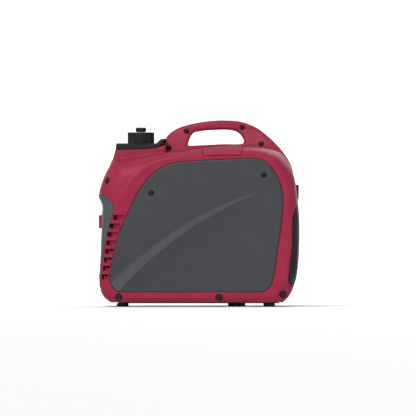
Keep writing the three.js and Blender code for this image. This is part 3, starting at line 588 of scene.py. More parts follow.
def piece(name, shape, finish, body, nodes=(), drift_and_painted_light=None):
    """Puts a shape in millimetres into the scene as a named piece on a body. An optional value per vertex,
    painted light and shade, is kept with the mesh for the finish to read."""
    vertices, faces = shape
    mesh = bpy.data.meshes.new(name)
    counts = np.concatenate([np.full(len(block), block.shape[1]) for block in faces])
    loops = np.concatenate([block.ravel() for block in faces])
    mesh.vertices.add(len(vertices))
    mesh.vertices.foreach_set("co", (vertices * MM).astype(np.float32).ravel())
    mesh.loops.add(len(loops))
    mesh.loops.foreach_set("vertex_index", loops.astype(np.int32))
    mesh.polygons.add(len(counts))
    mesh.polygons.foreach_set("loop_start", (np.cumsum(counts) - counts).astype(np.int32))
    mesh.update(calc_edges=True)
    mesh.validate()
    mesh.shade_smooth()
    mesh.set_sharp_from_angle(angle=np.radians(CREASE_DEGREES))
    mesh.materials.append(FINISHES[finish]())
    # painted light and shade, kept per vertex
    if drift_and_painted_light is not None:
        mesh.attributes.new("drift_and_painted_light", "FLOAT", "POINT").data.foreach_set("value", drift_and_painted_light.astype(np.float32))
    made = bpy.data.objects.new(name, mesh)
    bpy.context.scene.collection.objects.link(made)
    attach(made, body)
    if nodes:
        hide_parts(*nodes)
    return made


def carved(field, low, high, cell):
    """Shape of a field of position, inside the room between two corners."""
    room = 2.2 * cell
    vertices, quads = contour(field, np.array(low) - room, np.array(high) + room, cell)
    return vertices, [quads]


def ring_of(profile, sides=64):
    """Closed ring about +Z: a closed [radius, height] profile, anticlockwise, swept through a full turn."""
    profile = np.array(profile, float)
    angle = np.linspace(0, 2 * np.pi, sides, endpoint=False)
    radius, height = profile[:, :1], profile[:, 1:] + 0 * angle
    grid = np.stack([radius * np.cos(angle), radius * np.sin(angle), height], -1)
    return grid.reshape(-1, 3), [grid_faces(len(profile), sides, closed_rows=True)]


# ---------------------------------------------------------------- shader maths

class Wire:
    """An output socket that takes part in arithmetic, so that a shader reads like a formula."""

    def __init__(self, tree, socket):
        self.tree, self.socket = tree, socket

    def node(self, kind, inputs=None, output=0, **settings):
        """Adds one node, with its settings, and its inputs filled by numbers or by other wires."""
        made = self.tree.nodes.new(kind)
        for key, value in settings.items():
            setattr(made, key, value)
        for key, value in (inputs or {}).items():
            if isinstance(value, Wire):
                self.tree.links.new(value.socket, made.inputs[key])
            else:
                made.inputs[key].default_value = value
        return Wire(self.tree, made.outputs[output])

    def math(self, operation, first, second=0.0):
        return self.node("ShaderNodeMath", {0: first, 1: second}, operation=operation)

    def __add__(self, other):
        return self.math("ADD", self, other)

    def __sub__(self, other):
        return self.math("SUBTRACT", self, other)

    def __rsub__(self, other):
        return self.math("SUBTRACT", other, self)

    def __mul__(self, other):
        return self.math("MULTIPLY", self, other)

    __radd__ = __add__
    __rmul__ = __mul__

    def ramp(self, low, high):
        """0 below low, 1 above high, and a smooth step between."""
        inputs = {"Value": self, "From Min": low, "From Max": high}
        return self.node("ShaderNodeMapRange", inputs, interpolation_type="SMOOTHSTEP")

    def mix(self, first, second):
        """Blend of two colours with this wire as the share of the second."""
        inputs = {0: self, 6: first, 7: second}
        return self.node("ShaderNodeMix", inputs, output=2, data_type="RGBA")


def noise(place, size, detail=2.0, stretch=(1, 1, 1)):
    """Fractal noise with features of a size in millimetres, stretched along the axes."""
    scaled = place.node("ShaderNodeVectorMath", {0: place, 1: stretch}, operation="MULTIPLY")
    return place.node("ShaderNodeTexNoise", {"Vector": scaled, "Scale": 1 / (size * MM), "Detail": detail})


def material(name, base, roughness, metallic=0.0, coat=0.0, relief=None, specular=0.5):
    """A surface on object coordinates. base and roughness are functions of the place, or constants; relief is
    a function of the place that gives a height in millimetres."""
    made = bpy.data.materials.get(name)
    if made:
        return made
    made = bpy.data.materials.new(name)
    made.use_nodes = True
    tree = made.node_tree
    shader = tree.nodes["Principled BSDF"]
    coordinates = tree.nodes.new("ShaderNodeTexCoord")
    place = Wire(tree, coordinates.outputs["Object"])

    def fill(socket, value):
        value = value(place) if callable(value) else value
        if isinstance(value, Wire):
            tree.links.new(value.socket, shader.inputs[socket])
        else:
            shader.inputs[socket].default_value = value

    fill("Base Color", base)
    fill("Roughness", roughness)
    fill("Metallic", metallic)
    fill("Coat Weight", coat)
    fill("Specular IOR Level", specular)
    if relief:
        bump = place.node("ShaderNodeBump", {"Height": relief(place), "Distance": MM, "Strength": 1.0})
        tree.links.new(bump.socket, shader.inputs["Normal"])
    return made


def rgba(colour):
    return (*colour[:3], 1.0)


def grey(value):
    return (value, value, value, 1.0)


def shade(colour, factor):
    return rgba([c * factor for c in colour[:3]])


def moulded(name, colour, roughness, grain=0.035, drift_and_painted_light=0.06, specular=0.09):
    """Moulded plastic: fine grain in the relief, slow drifts of lightness and of gloss."""
    def base(place):
        return noise(place, 38, 3).ramp(0.3, 0.7).mix(shade(colour, 1 - drift_and_painted_light), shade(colour, 1 + drift_and_painted_light))

    def gloss(place):
        return noise(place, 14, 4) * 0.12 + noise(place, 1.6, 1) * 0.06 + (roughness - 0.09)

    def relief(place):
        return noise(place, 0.75, 3) * grain

    return material(name, base, gloss, relief=relief, specular=specular)


def plastic_with_painted_light(name, colour, roughness, grain):
    """Moulded plastic with painted light and shade: its colour and gloss follow a value that the mesh keeps per
    vertex, around a middle of 0.5.
    """
    def base(place):
        drift_and_painted_light = place.node("ShaderNodeAttribute", output=2, attribute_name="drift_and_painted_light")
        drift = noise(place, 38, 3).ramp(0.3, 0.7)
        # the per-vertex value paints the light and shade into the colour; the noise adds a little random drift
        return (drift_and_painted_light * 0.9 + drift * 0.1).mix(shade(colour, 0.56), shade(colour, 1.46))

    def gloss(place):
        drift_and_painted_light = place.node("ShaderNodeAttribute", output=2, attribute_name="drift_and_painted_light")
        return noise(place, 14, 4) * 0.12 - drift_and_painted_light * 0.08 + (roughness - 0.02)

    return material(name, base, gloss, relief=lambda place: noise(place, 0.75, 3) * grain, specular=0.25)


def brushed(name, colour, roughness, stretch=(1, 1, 1), scale=2.5, metallic=1.0):
    """Metal with fine streaks along one axis, which change its gloss and its relief."""
    def base(place):
        return noise(place, scale * 3, 3, stretch).ramp(0.35, 0.65).mix(shade(colour, 0.86), rgba(colour))

    def gloss(place):
        return noise(place, scale, 4, stretch) * 0.22 + (roughness - 0.11)

    def relief(place):
        return noise(place, scale * 0.4, 3, stretch) * 0.03

    return material(name, base, gloss, metallic=metallic, relief=relief)


def cast(name, colour, roughness):
    """Sand-cast metal: coarse grain with darker pits."""
    def base(place):
        return noise(place, 2.2, 4).ramp(0.38, 0.6).mix(shade(colour, 0.62), rgba(colour))

    def gloss(place):
        return noise(place, 3, 3) * 0.2 + (roughness - 0.1)

    def relief(place):
        return noise(place, 1.4, 4) * 0.22

    return material(name, base, gloss, metallic=0.85, relief=relief)


def rubber(name, colour):
    """Rubber: matt, with a faint bloom and fine grain."""
    def base(place):
        return noise(place, 9, 4).ramp(0.45, 0.75).mix(rgba(colour), shade(colour, 1.7))

    return material(name, base, lambda place: noise(place, 5, 2) * 0.15 + 0.72,
                    relief=lambda place: noise(place, 0.5, 2) * 0.05)


def braid(name, colour):
    """Braided cord along Y: two sets of strands wound the opposite ways, as sines of turn plus height."""
    def strands(place):
        x, y, z = (place.node("ShaderNodeSeparateXYZ", {"Vector": place}, output=k) for k in range(3))
        turn = place.node("ShaderNodeMath", {0: z - 0.178, 1: x + 0.142}, operation="ARCTAN2")
        waves = [place.math("SINE", turn * 4 + y * (way * 1100)) for way in (1, -1)]
        return place.math("MAXIMUM", *waves)

    def base(place):
        # painted shade: darker between the strands, where the relief is low
        return strands(place).ramp(-0.2, 0.9).mix(shade(colour, 0.45), rgba(colour))

    return material(name, base, 0.85, relief=lambda place: strands(place) * 0.25)


def wound(name, colour):
    """Enamelled wire wound round a tooth: fine ridges across it."""
    def ridges(place):
        x = place.node("ShaderNodeSeparateXYZ", {"Vector": place}, output=0)
        return place.math("SINE", x * 7000)

    # painted shade: darker in the grooves between the turns of wire, where the ridges are low
    return material(name, lambda place: ridges(place).ramp(-1, 1).mix(shade(colour, 0.4), rgba(colour)),
                    0.34, metallic=0.8, relief=lambda place: ridges(place) * 0.12)


def lens(name, colour):
    """Clear coloured lens of a lamp that is off."""
    def base(place):
        return noise(place, 2, 1).mix(rgba(colour), shade(colour, 1.2))

    return material(name, base, 0.12, coat=0.6)


def settings():
    return bpy.context.scene.generator


FINISHES = {
    "red": lambda: moulded("Red plastic", settings().shell_colour, 0.40),
    # side covers: plastic with painted light and shade from the mesh's values per vertex
    "cover": lambda: plastic_with_painted_light("Cover plastic with painted light", settings().cover_colour, 0.50, 0.05),
    "panel": lambda: moulded("Panel plastic", settings().panel_colour, 0.50, 0.05),
    "black": lambda: moulded("Black plastic", settings().black_colour, 0.5, 0.05, 0.1, 0.16),
    "matt": lambda: moulded("Matt black plastic", shade(settings().black_colour, 0.7), 0.66, 0.08, 0.1),
    "red switch": lambda: moulded("Switch plastic", settings().shell_colour, 0.32, 0.01),
    "socket": lambda: moulded("Socket plastic", shade(settings().black_colour, 0.8), 0.3, 0.01),
    "steel": lambda: brushed("Steel", (0.50, 0.50, 0.51), 0.34),
    "dark steel": lambda: moulded("Blackened steel", (0.007, 0.0065, 0.007), 0.40, 0.01, 0.1, 0.22),
    "shaft": lambda: brushed("Ground steel", (0.58, 0.58, 0.60), 0.25, (0.1, 1, 1)),
    "cast": lambda: cast("Cast alloy", (0.42, 0.42, 0.43), 0.52),
    "brass": lambda: brushed("Brass", (0.60, 0.42, 0.15), 0.3),
    "winding": lambda: wound("Winding", (0.45, 0.16, 0.05)),
    "ceramic": lambda: moulded("Ceramic", (0.72, 0.70, 0.66), 0.18, 0.005, 0.02),
    "white": lambda: moulded("Natural plastic", (0.62, 0.61, 0.57), 0.42, 0.02),
    "rubber": lambda: rubber("Rubber", (0.014, 0.014, 0.015)),
    "green lamp": lambda: lens("Green lens", (0.05, 0.36, 0.08)),
    "amber lamp": lambda: lens("Amber lens", (0.66, 0.26, 0.02)),
    "rope": lambda: braid("Braided rope", (0.66, 0.63, 0.55)),
}


# ---------------------------------------------------------------- moulded pieces of the case

def near_shell(x, y, z):
    """The near shell has room for the spark plug's lid as well."""
    return np.maximum(shell_field(x, y, z), -(plug_zone(x, np.abs(y), z) - 1.0))


def plug_cover(x, y, z):
    """Lid over the spark plug: the shoulder's own surface within a rounded rectangle."""
    a = np.abs(y)
    body = outer_body(x, a, z)
    lid = round_max(body, plug_zone(x, a, z), 1.2)
    return np.maximum(lid, -body - WALL)


def grip(x, y, z):
    """Grip round the arch: its surface follows the handle and stands proud in the finger hole."""
    hole = VIEWS.hole(x, z)
    rod = arch(x, np.abs(y), z)
    around = round_max(rod, -(hole + 1.2), 8.0)
    core = round_max(rod, -hole, 9) + WALL
    x0, x1 = GRIP_ZONE
    ends = np.maximum(np.maximum(x0 - x, x - x1), 426 - z)
    return np.maximum(round_max(around, ends, 0.3), -core)


def front_panel(x, y, z):
    """Surround of the control panel: the body's skin at that end, with a rounded window and a collar that
    reaches in to the control plate."""
    a = np.abs(y)
    body = outer_body(x, a, z)
    window = box_distance(a, z, -86, 86, 62, 236, 3)
    collar = np.maximum(window - 5, x + 227)
    ring = np.maximum(body, np.minimum(-body - 5, collar))
    return round_max(round_max(ring, VIEWS.front(x, z), 1.0), -window, 2.2)


def vent_slots(y, z, ends, heights, half):
    """Level air slots between two ends, each reaching half above and below its height."""
    slots = [box_distance(y, z, *ends, h - half, h + half, min(2.4, half - 0.1)) for h in heights]
    return np.minimum.reduce(slots)


def rear_cover(x, y, z):
    """Cover of the exhaust end: six air slots on one side, a dished round hole for the outlet on the other, and
    two upright grooves round its edges."""
    a = np.abs(y)
    body = outer_body(x, a, z)
    skin = round_max(body, VIEWS.rear(x, z), 1.0)
    slots = vent_slots(y, z, (-80, -4), 70 + 22 * np.arange(6), 5)
    r = np.hypot(y - OUTLET_Y, z - OUTLET_Z)
    skin = round_max(skin, -round_max(r - 31, 240.5 - x, 1.5), 1.0)
    skin = round_max(round_max(skin, -slots, 1.0), 24 - r, 1.2)
    ribs = np.minimum(np.abs(x - 233.2), np.abs(x - 237.4)) - 0.9
    groove = np.maximum(np.maximum(ribs, -body - 1.3), np.maximum(62 - z, z - 232))
    skin = np.maximum(skin, -np.maximum(groove, 98 - a))
    return np.maximum(skin, -body - 7.0)


def rear_grille(x, y, z):
    """Small louvred block above the rear cover."""
    a = np.abs(y)
    body = outer_body(x, a, z)
    block = round_max(box_distance(x, z, 222, 244.4, 262, 299, 2), a - 60, 1.2)
    slots = vent_slots(y, z, (-54, 54), (270, 280.5, 291), 3)
    return np.maximum(round_max(block, -slots, 0.8), -body - 11.5)


def filler_tray(x, y, z):
    """Tray round the filler: a slab with a ramp up to the handle, dished under the cap."""
    a = np.abs(y)
    block = round_max(VIEWS.tray(x, z), a - (TRAY_HALF - np.maximum(z - 398, 0) * 0.2), 2.0)
    r = np.hypot(x - FILLER_X, a)
    dish = round_max(r - 44 - (z - 394) * 0.25, 394.5 - z, 3.0)
    dip = np.maximum(box_distance(x, z, -166, -118, 396, 420, 4), 50 - a)
    block = round_max(round_max(block, -dish, 2.0), -dip, 1.5)
    block = np.maximum(block, -(r - 24.4))
    return np.maximum(block, GAP - arch(x, a, z))


def cover_band(x, z):
    """The curved band of a side cover: its upper and lower edges and its width at x, and how far down it z is,
    from 0 at the upper edge to 1 at the lower. The band narrows to nothing at its right end."""
    upper, lower = (np.interp(x, *zip(*edge)) for edge in (STEP_UPPER, STEP_LOWER))
    width = np.maximum(upper - lower, 1.0)
    return upper, lower, width, (upper - z) / width


def cover_face(x, z):
    """Distance of a side cover's face from the middle plane: low above the band, which slopes out to a ridge,
    and falling away again below the ridge."""
    _, lower, width, t = cover_band(x, z)
    t = np.clip(t, -0.15, 1)
    slope = np.where(t < 0.15, (t + 0.15) ** 2 / 0.6, t)
    below = smoothstep(lower - z, 0, 70) * smoothstep(x, 190, 40)
    return COVER_PROUD - 0.13 * width * (1 - slope) - 1.5 * below


def cover_painted_light(vertices):
    """How much lighter or darker a side cover is painted at each vertex: a painted highlight on the band, where
    its slope faces the light, comes in softly from above and ends sharply, and painted shade lies on the plastic
    just below the band and, less, just above it."""
    x, _, z = vertices.T
    upper, lower, _, t = cover_band(x, z)
    # band is a painted highlight; under and over are painted shade below and above the band
    band = smoothstep(t, -0.07, 0.13) * smoothstep(t, 1.05, 0.96) * smoothstep(x, 175, 100)
    under = np.where(t > 1, np.exp(-np.maximum(lower - z, 0) / 38), 0) * smoothstep(x, 150, 20)
    over = np.where(t < 0, np.exp(-np.maximum(z - upper, 0) / 30), 0) * smoothstep(x, 150, 20)
    return 0.5 + 0.21 * band - 0.22 * under - 0.16 * over


def side_cover(x, y, z):
    """Side cover: a plate with a softly rounded edge, the curved band and two holes for its screws."""
    a = np.abs(y)
    face = cover_face(x, z)
    plate = round_max(VIEWS.cover(x, z), a - face, 3.4)
    plate = np.maximum(plate, COVER_BACK - a)
    for xc, zc, r in COVER_SCREWS:
        plate = round_max(plate, r - np.hypot(x - xc, z - zc), 0.7)
    return plate


def far_cover(x, y, z):
    """The far cover has a rounded window for the starter's cup."""
    return round_max(side_cover(x, y, z), -box_distance(x, z, -181, -103, 154, 202, 9), 1.2)


def recoil_bezel(x, y, z):
    """Cup for the starter grip in the far cover, with a lip and a hole for the rope."""
    cup = round_max(box_distance(x, z, -180, -104, 155, 201, 8), y - 143, 1.5)
    room = np.maximum(box_distance(x, z, -177, -107, 158, 198, 6), 115.2 - y)
    rope_hole = np.hypot(x - ROPE_X, z - ROPE_Z) - 4
    return np.maximum(np.maximum(round_max(cup, -room, 1.2), -rope_hole), 112 - y)


def starter_grip(x, y, z):
    """Pull bar with a waist for the fingers and a boss round the rope's knot."""
    half = 28
    u, w = x - ROPE_X, z - ROPE_Z
    t = u / half
    waist = 10 - 1.6 * np.cos(np.pi * np.clip(t, -1, 1)) ** 2 * (np.abs(t) < 1)
    section = np.sqrt(((y - 135) / 8.0) ** 2 + (w / waist) ** 2 + 1e-9)
    bar = round_max((section - 1) * 7.0, np.abs(u) - half, 5.5)
    r = np.hypot(u, w)
    neck = np.maximum(r - np.interp(y, [118, 131], [6, 10]), np.maximum(118 - y, y - 136))
    hole = np.maximum(r - 2.4, y - 122)
    return np.maximum(round_min(bar, neck, 2.5), -hole)


# ---------------------------------------------------------------- turned and small pieces

def fuel_cap():
    """Cap with broad flutes down its side and a wide plain tongue to the front and back."""
    profile = soft_profile([
        (0, 405), (26, 405), (26, CAP_FOOT), (CAP_RADIUS, CAP_FOOT), (CAP_RADIUS, CAP_TOP), (0, CAP_TOP + 0.2),
    ], 2.6, 8)
    rows = CAP_FOOT + np.linspace(0.2, 0.85, 8)[1:] * (CAP_TOP - CAP_FOOT)    # more rows for the flutes
    start = int(np.argmax(profile[:, 0] > CAP_RADIUS - 0.01)) + 1
    profile = np.insert(profile, start, np.stack([0 * rows + CAP_RADIUS, rows], -1), axis=0)

    def flutes(angle, radius, height):
        away = np.minimum(np.abs(np.abs(angle - np.pi) - np.pi / 2), 9)
        plain = 1 - smoothstep(away, 0.36, 0.44)
        groove = np.clip(-np.cos(16 * angle), 0, 1) ** 0.6 * (1 - plain)
        grip_band = smoothstep(height, 401, 405) * smoothstep(height, 427.4, 423) * (radius > 29)
        return 1 - 0.085 * groove * grip_band

    return aimed(turned(profile, 252, flutes), (0, 0, 1), (FILLER_X, 0, 0))


def vent_knob():
    """Eight-sided knob, widest half-way up, with a small dimple in its top."""
    profile = soft_profile([
        (0, 428.5), (11.6, 428.5), (VENT_RADIUS, 432), (VENT_RADIUS, 435.6), (12, 440), (7, 440), (6, 439),
        (0, 439),
    ])

    def flats(angle, radius, height):
        corner = np.cos(np.pi / 8) / np.cos((angle + np.pi / 8) % (np.pi / 4) - np.pi / 8)
        return np.where(radius > 8, corner, 1)

    return aimed(turned(profile, 96, flats), (0, 0, 1), (FILLER_X, 0, 0))


def foot(x, y):
    """Round rubber foot, narrower at the floor."""
    profile = soft_profile([(0, 0), (11.5, 0), (14, 2.2), (14, 8.1), (0, 8.1)], 1.2)
    return aimed(turned(profile, 48), (0, 0, 1), (x, y, 0))


def cross_screw(radius, height, axis, at):
    """Screw on its seat: a washer, and on it a shallow dome with a tapering cross recess."""
    reach = 0.62             # length of the cross's arms, as a share of the dome's radius

    def head(x, y, z):
        r = np.hypot(x, y)
        inner = 0.68 * radius
        dome = round_max(r - inner, z - height + 0.3 * height * (r / inner) ** 2, min(1.0, height / 2.5))
        washer = round_max(r - radius, z - 0.4 * height, 0.3)
        depth = height - 0.7 * height * (1 - r / (reach * inner + 0.2))
        slot = np.minimum(np.abs(x), np.abs(y)) - 0.16 * inner
        cross = np.maximum(np.maximum(slot, r - reach * inner), depth - z)
        return np.maximum(np.maximum(np.minimum(dome, washer), -z), -cross)

    cell = max(0.35, radius / 16)
    return aimed(carved(head, (-radius, -radius, 0), (radius, radius, height), cell), axis, at)


def socket_drum(field, y, z, radius, reach):
    """A fitting of the control panel, made in its own axes: u across, v up and w out of the panel. reach is how
    deep it goes behind the plate."""
    vertices, faces = carved(field, (-radius, -radius, -reach), (radius, radius, 9.5), max(0.6, radius / 30))
    placed = np.stack([PANEL_FACE - vertices[:, 2], y - vertices[:, 0], z + vertices[:, 1]], -1)
    return placed, faces


def mains_outlet(u, v, w):
    """Round outlet: a collar, a sunk face, two flat slots and a round earth hole."""
    r = np.hypot(u, v)
    collar = round_max(r - 21.4, w - 2, 1.0)
    collar = np.maximum(collar, 0.4 - w)
    drum = np.maximum(r - 16.8, -26 - w)
    body = np.minimum(collar, np.maximum(drum, w - 1.5))
    body = round_max(body, -np.maximum(r - 17.2, -1.8 - w + 1.2), 0.5)
    slots = np.minimum(*[box_distance(u, v, c - 1.1, c + 1.1, -2, 7) for c in (-6.5, 6.5)])
    earth = np.hypot(u, v + 8) - 2.8
    return np.maximum(body, -np.maximum(np.minimum(slots, earth), -14 - w))


def dc_outlet(u, v, w):
    """Round low-voltage outlet: a collar round a deep bore."""
    r = np.hypot(u, v)
    collar = np.maximum(round_max(r - 16.4, w - 2, 0.9), 0.4 - w)
    body = np.minimum(collar, np.maximum(r - 12.8, np.maximum(w - 1, -26 - w)))
    return round_max(body, -np.maximum(r - 10.5, -24 - w), 0.7)


def parallel_socket(u, v, w):
    """Round single-pole socket with a flange."""
    r = np.hypot(u, v)
    flange = np.maximum(round_max(r - 8.8, w - 3, 1.3), 0.4 - w)
    body = np.minimum(flange, np.maximum(r - 5.8, np.maximum(w - 1, -22 - w)))
    return round_max(body, -np.maximum(r - 2.6, -16 - w), 0.4)


def ground_screw(u, v, w):
    """Hexagon flange bolt with a slot across its head."""
    r = np.hypot(u, v)
    sector = (np.arctan2(v, u) + np.pi / 6) % (np.pi / 3) - np.pi / 6
    hexagon = r * np.cos(sector) - 4.4
    head = round_max(hexagon, w - 8.2, 0.6)
    flange = round_max(r - 6.4, w - 1.8, 0.4)
    body = np.maximum(np.minimum(head, flange), 0.45 - w)
    body = np.minimum(body, np.maximum(r - 2.6, np.maximum(w - 1, -12 - w)))
    return np.maximum(body, -np.maximum(np.abs(v) - 0.6, 6.9 - w))


def engine_knob(u, v, w):
    """Turning knob: a round skirt and a raised bar across it, hollowed on both sides for the fingers."""
    r = np.hypot(u, v)
    skirt = round_max(r - 17.2, w - 3.2, 1.2)
    side = np.hypot(np.abs(u) - 16.5, v * 0.62) - 11.5
    bar = round_max(round_max(r - 16, w - 8.4, 1.4), -side, 1.2)
    body = np.maximum(round_min(skirt, bar, 0.8), 0.45 - w)
    mark = np.maximum(np.maximum(np.abs(u) - 0.8, np.abs(v - 10) - 4), 7.7 - w)
    return np.minimum(np.maximum(body, -mark), np.maximum(r - 5.8, np.maximum(w - 1, -14 - w)))


def rocker(u, v, w):
    """Rocker switch: a key with two faces, one leaning in and one out, in its slot."""
    face = np.where(v < 0, np.interp(v, [-13, 0], [2.6, -0.2]), np.interp(v, [0, 13], [-0.2, 4.8]))
    key = round_max(box_distance(u, v, -7.8, 7.8, -13, 13, 1.5), w - face, 0.8)
    return np.maximum(key, -6 - w)


def panel_turned(corners, y, z, sides=40):
    """A turned fitting of the panel, from its back outwards."""
    return aimed(turned(soft_profile(corners, 0.7), sides), (-1, 0, 0), (PANEL_FACE, y, z))


def rope():
    """Rope of the starter: a circle of 2 mm radius carried straight along Y, closed at both ends."""
    radius, rows, sides = 2, 90, 20
    turn = np.linspace(0, 2 * np.pi, sides, endpoint=False)
    along = np.linspace(4, 121, rows)[:, None]
    x, z = radius * np.cos(turn) + ROPE_X, ROPE_Z - radius * np.sin(turn)
    grid = np.stack(np.broadcast_arrays(x, along, z), -1)
    ends = [np.arange(sides)[None, ::-1], np.arange(sides)[None, :] + (rows - 1) * sides]
    return grid.reshape(-1, 3), [grid_faces(rows, sides), *ends]


def louvre_shade_sheet():
    """Ribbed black sheet behind the air scoops, put in as painted shade for the dark inside seen through their
    openings:
    it follows the shell 15.5 mm in, with ridges across X."""
    x = np.linspace(-228, -186, 120)[:, None]
    z = np.linspace(66, 226, 60)[None, :]
    face = VIEWS.width(x + 0 * z, z + 0 * x) - 15.5 + 0.9 * np.cos(2 * np.pi * x / 4.6)
    grid = np.stack([x + 0 * z, -face, z + 0 * x], -1)
    inner = grid + [0, 1.6, 0]
    n = x.size * z.size
    front = grid_faces(x.size, z.size, closed_columns=False)
    rim = np.concatenate([
        np.arange(z.size), np.arange(1, x.size) * z.size + z.size - 1,
        n - 2 - np.arange(z.size - 1), np.arange(x.size - 2, 0, -1) * z.size,
    ])
    after = np.roll(rim, -1)
    sides = np.stack([rim, rim + n, after + n, after], -1)
    return np.concatenate([grid.reshape(-1, 3), inner.reshape(-1, 3)]), [front, front[:, ::-1] + n, sides]


# ---------------------------------------------------------------- settings and operators

def colour(name, description, default):
    return FloatVectorProperty(
        name=name, description=description, default=default, subtype="COLOR", min=0, max=1)


def size(name, description, default):
    return FloatProperty(name=name, description=description, default=default, subtype="DISTANCE", unit="LENGTH")


class GeneratorSettings(bpy.types.PropertyGroup):
    """Sizes and colours that the generator's pieces are made with."""

    shell_cell: size("Shell cell", "Grid step that the shells' surfaces are found on", 0.0023)
    cover_cell: size("Cover cell", "Grid step that the side covers' surfaces are found on", 0.0017)
    fitting_cell: size("Fitting cell", "Grid step for the tray, grip, lids and starter", 0.0012)
    shell_colour: colour("Shells", "Colour of the red mouldings", (0.235, 0.0172, 0.040))
    cover_colour: colour("Side covers", "Colour of the side covers", (0.0335, 0.0348, 0.0392))
    panel_colour: colour("Panel surround", "Colour of the control panel's surround", (0.058, 0.0625, 0.069))
    black_colour: colour("Black parts", "Colour of the tray, cap and exhaust end", (0.0140, 0.0120, 0.0145))


class PieceOperator:
    """What the piece operators share."""

    bl_options = {"REGISTER", "UNDO"}

    def cell(self, name):
        return getattr(settings(), name) / MM

    def carve(self, node, field, low, high, cell, finish, slot, body="root"):
        return piece(f"{node}_surface", carved(field, low, high, cell), finish, body, [node])


class GENERATOR_OT_shells(PieceOperator, bpy.types.Operator):
    """Make the two red shells, with their scoops and screw seats"""

    bl_idname = "generator.shells"
    bl_label = "Shells"

    def execute(self, context):
        cell = self.cell("shell_cell")
        low, high = (-247.5, -143, 8), (247.5, 0, 458)
        self.carve("near_shell", near_shell, low, high, cell, "red", "red_plastic")
        far = mirrored(carved(shell_field, low, high, cell))
        piece("far_shell_surface", far, "red", "root", ["far_shell"])
        # black sheets behind the scoops: painted shade for the dark inside
        shade_sheet = louvre_shade_sheet()
        piece("near_louvre_shade_sheet", shade_sheet, "matt", "root")
        piece("far_louvre_shade_sheet", mirrored(shade_sheet), "matt", "root")
        return {"FINISHED"}


class GENERATOR_OT_handle(PieceOperator, bpy.types.Operator):
    """Make the handle's grip and the lid over the spark plug"""

    bl_idname = "generator.handle"
    bl_label = "Grip and plug lid"

    def execute(self, context):
        cell = self.cell("fitting_cell")
        self.carve("handle_grip", grip, (-7, -30, 426), (88, 30, 458), cell, "red", "red_plastic")
        self.carve("spark_plug_cover", plug_cover, (8, -143, 371), (105, -60, 405), cell, "red", "red_plastic",
                   "plug_cover")
        return {"FINISHED"}


class GENERATOR_OT_covers(PieceOperator, bpy.types.Operator):
    """Make the two side covers"""

    bl_idname = "generator.covers"
    bl_label = "Side covers"

    def execute(self, context):
        cell = self.cell("cover_cell")
        low, high = (-221, -145, 35), (206, -138, 364)
        near = carved(side_cover, low, high, cell)
        far = mirrored(carved(far_cover, low, high, cell))
        for side, shape, body in (("near", near, "side_cover"), ("far", far, "root")):
            # each cover keeps its painted highlight and shade as a value per vertex
            piece(f"{side}_side_cover_surface", shape, "cover", body, [f"{side}_side_cover"],
                  cover_painted_light(shape[0]))
        return {"FINISHED"}


class GENERATOR_OT_ends(PieceOperator, bpy.types.Operator):
    """Make the control panel's surround and the exhaust end"""

    bl_idname = "generator.ends"
    bl_label = "End mouldings"

    def execute(self, context):
        cell = self.cell("shell_cell")
        self.carve("front_panel", front_panel, (-247.5, -143, 8), (-205, 143, 283), cell, "panel",
                   "panel_plastic")
        self.carve("rear_cover", rear_cover, (216, -143, 38), (247.5, 143, 256), cell * 0.72, "black",
                   "black_plastic")
        self.carve("rear_grille", rear_grille, (222, -61, 261), (247.5, 61, 300), 1.4, "black", "black_plastic")
        profile = soft_profile([(13.2, 8), (14.6, 8), (14.6, 44), (21, 46), (21, 49), (13.2, 49)], 0.6)
        outlet = aimed(ring_of(profile, 72), (1, 0, 0), (195, OUTLET_Y, OUTLET_Z))
        piece("exhaust_outlet_surface", outlet, "steel", "root", ["exhaust_outlet"])
        return {"FINISHED"}


class GENERATOR_OT_filler(PieceOperator, bpy.types.Operator):
    """Make the filler's tray, cap and vent knob"""

    bl_idname = "generator.filler"
    bl_label = "Filler"

    def execute(self, context):
        self.carve("filler_tray", filler_tray, (-206, -79, 384), (-76, 79, 414), self.cell("fitting_cell"),
                   "black", "black_plastic")
        piece("fuel_cap_surface", fuel_cap(), "black", frame_body("fuel_cap"), ["fuel_cap"])
        piece("vent_knob_surface", vent_knob(), "black", frame_body("vent_knob"),
              ["vent_knob"])
        return {"FINISHED"}


def frame_body(node):
    """The body that a node of the frame moves with."""
    return frame["nodes"][node]["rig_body"]


class GENERATOR_OT_controls(PieceOperator, bpy.types.Operator):
    """Make the knob, outlets, sockets, switch, breaker and lamps of the control panel"""

    bl_idname = "generator.controls"
    bl_label = "Controls"

    def fitting(self, node, shape, finish, slot):
        piece(f"{node}_surface", shape, finish, frame_body(node), [node])

    def execute(self, context):
        black, red = ("socket", "socket_black"), ("red switch", "switch_red")
        for node, field, y, z, radius, reach, look in (
            ("mains_outlet_upper", mains_outlet, 44, 136, 21.5, 26, black),
            ("mains_outlet_lower", mains_outlet, 44, 88, 21.5, 26, black),
            ("dc_outlet", dc_outlet, -8, 88, 16.5, 26, black),
            ("parallel_socket_red", parallel_socket, -44, 98, 9, 22, red),
            ("parallel_socket_black", parallel_socket, -68, 98, 9, 22, black),
            ("ground_screw", ground_screw, -56, 74, 6.5, 12, ("brass", "brass")),
            ("engine_knob", engine_knob, -46, 208.5, 17.5, 14, red),
            ("economy_rocker", rocker, 30, 196, 13.5, 7, black),
        ):
            self.fitting(node, socket_drum(field, y, z, radius, reach), *look)
        breaker = panel_turned([(0, -8), (5.1, -8), (5.1, 3), (4.4, 4), (0, 4)], -8, 132)
        self.fitting("breaker_button", breaker, *black)
        lamps = (("output_lamp", -70, "green"), ("overload_lamp", -46, "amber"), ("oil_lamp", -22, "amber"))
        for node, y, finish in lamps:
            lamp = panel_turned([(0, -8), (2.9, -8), (2.9, 0.6), (2.2, 1.6), (0, 2.0)], y, 172)
            self.fitting(node, lamp, f"{finish} lamp", f"lamp_{finish}")
        return {"FINISHED"}


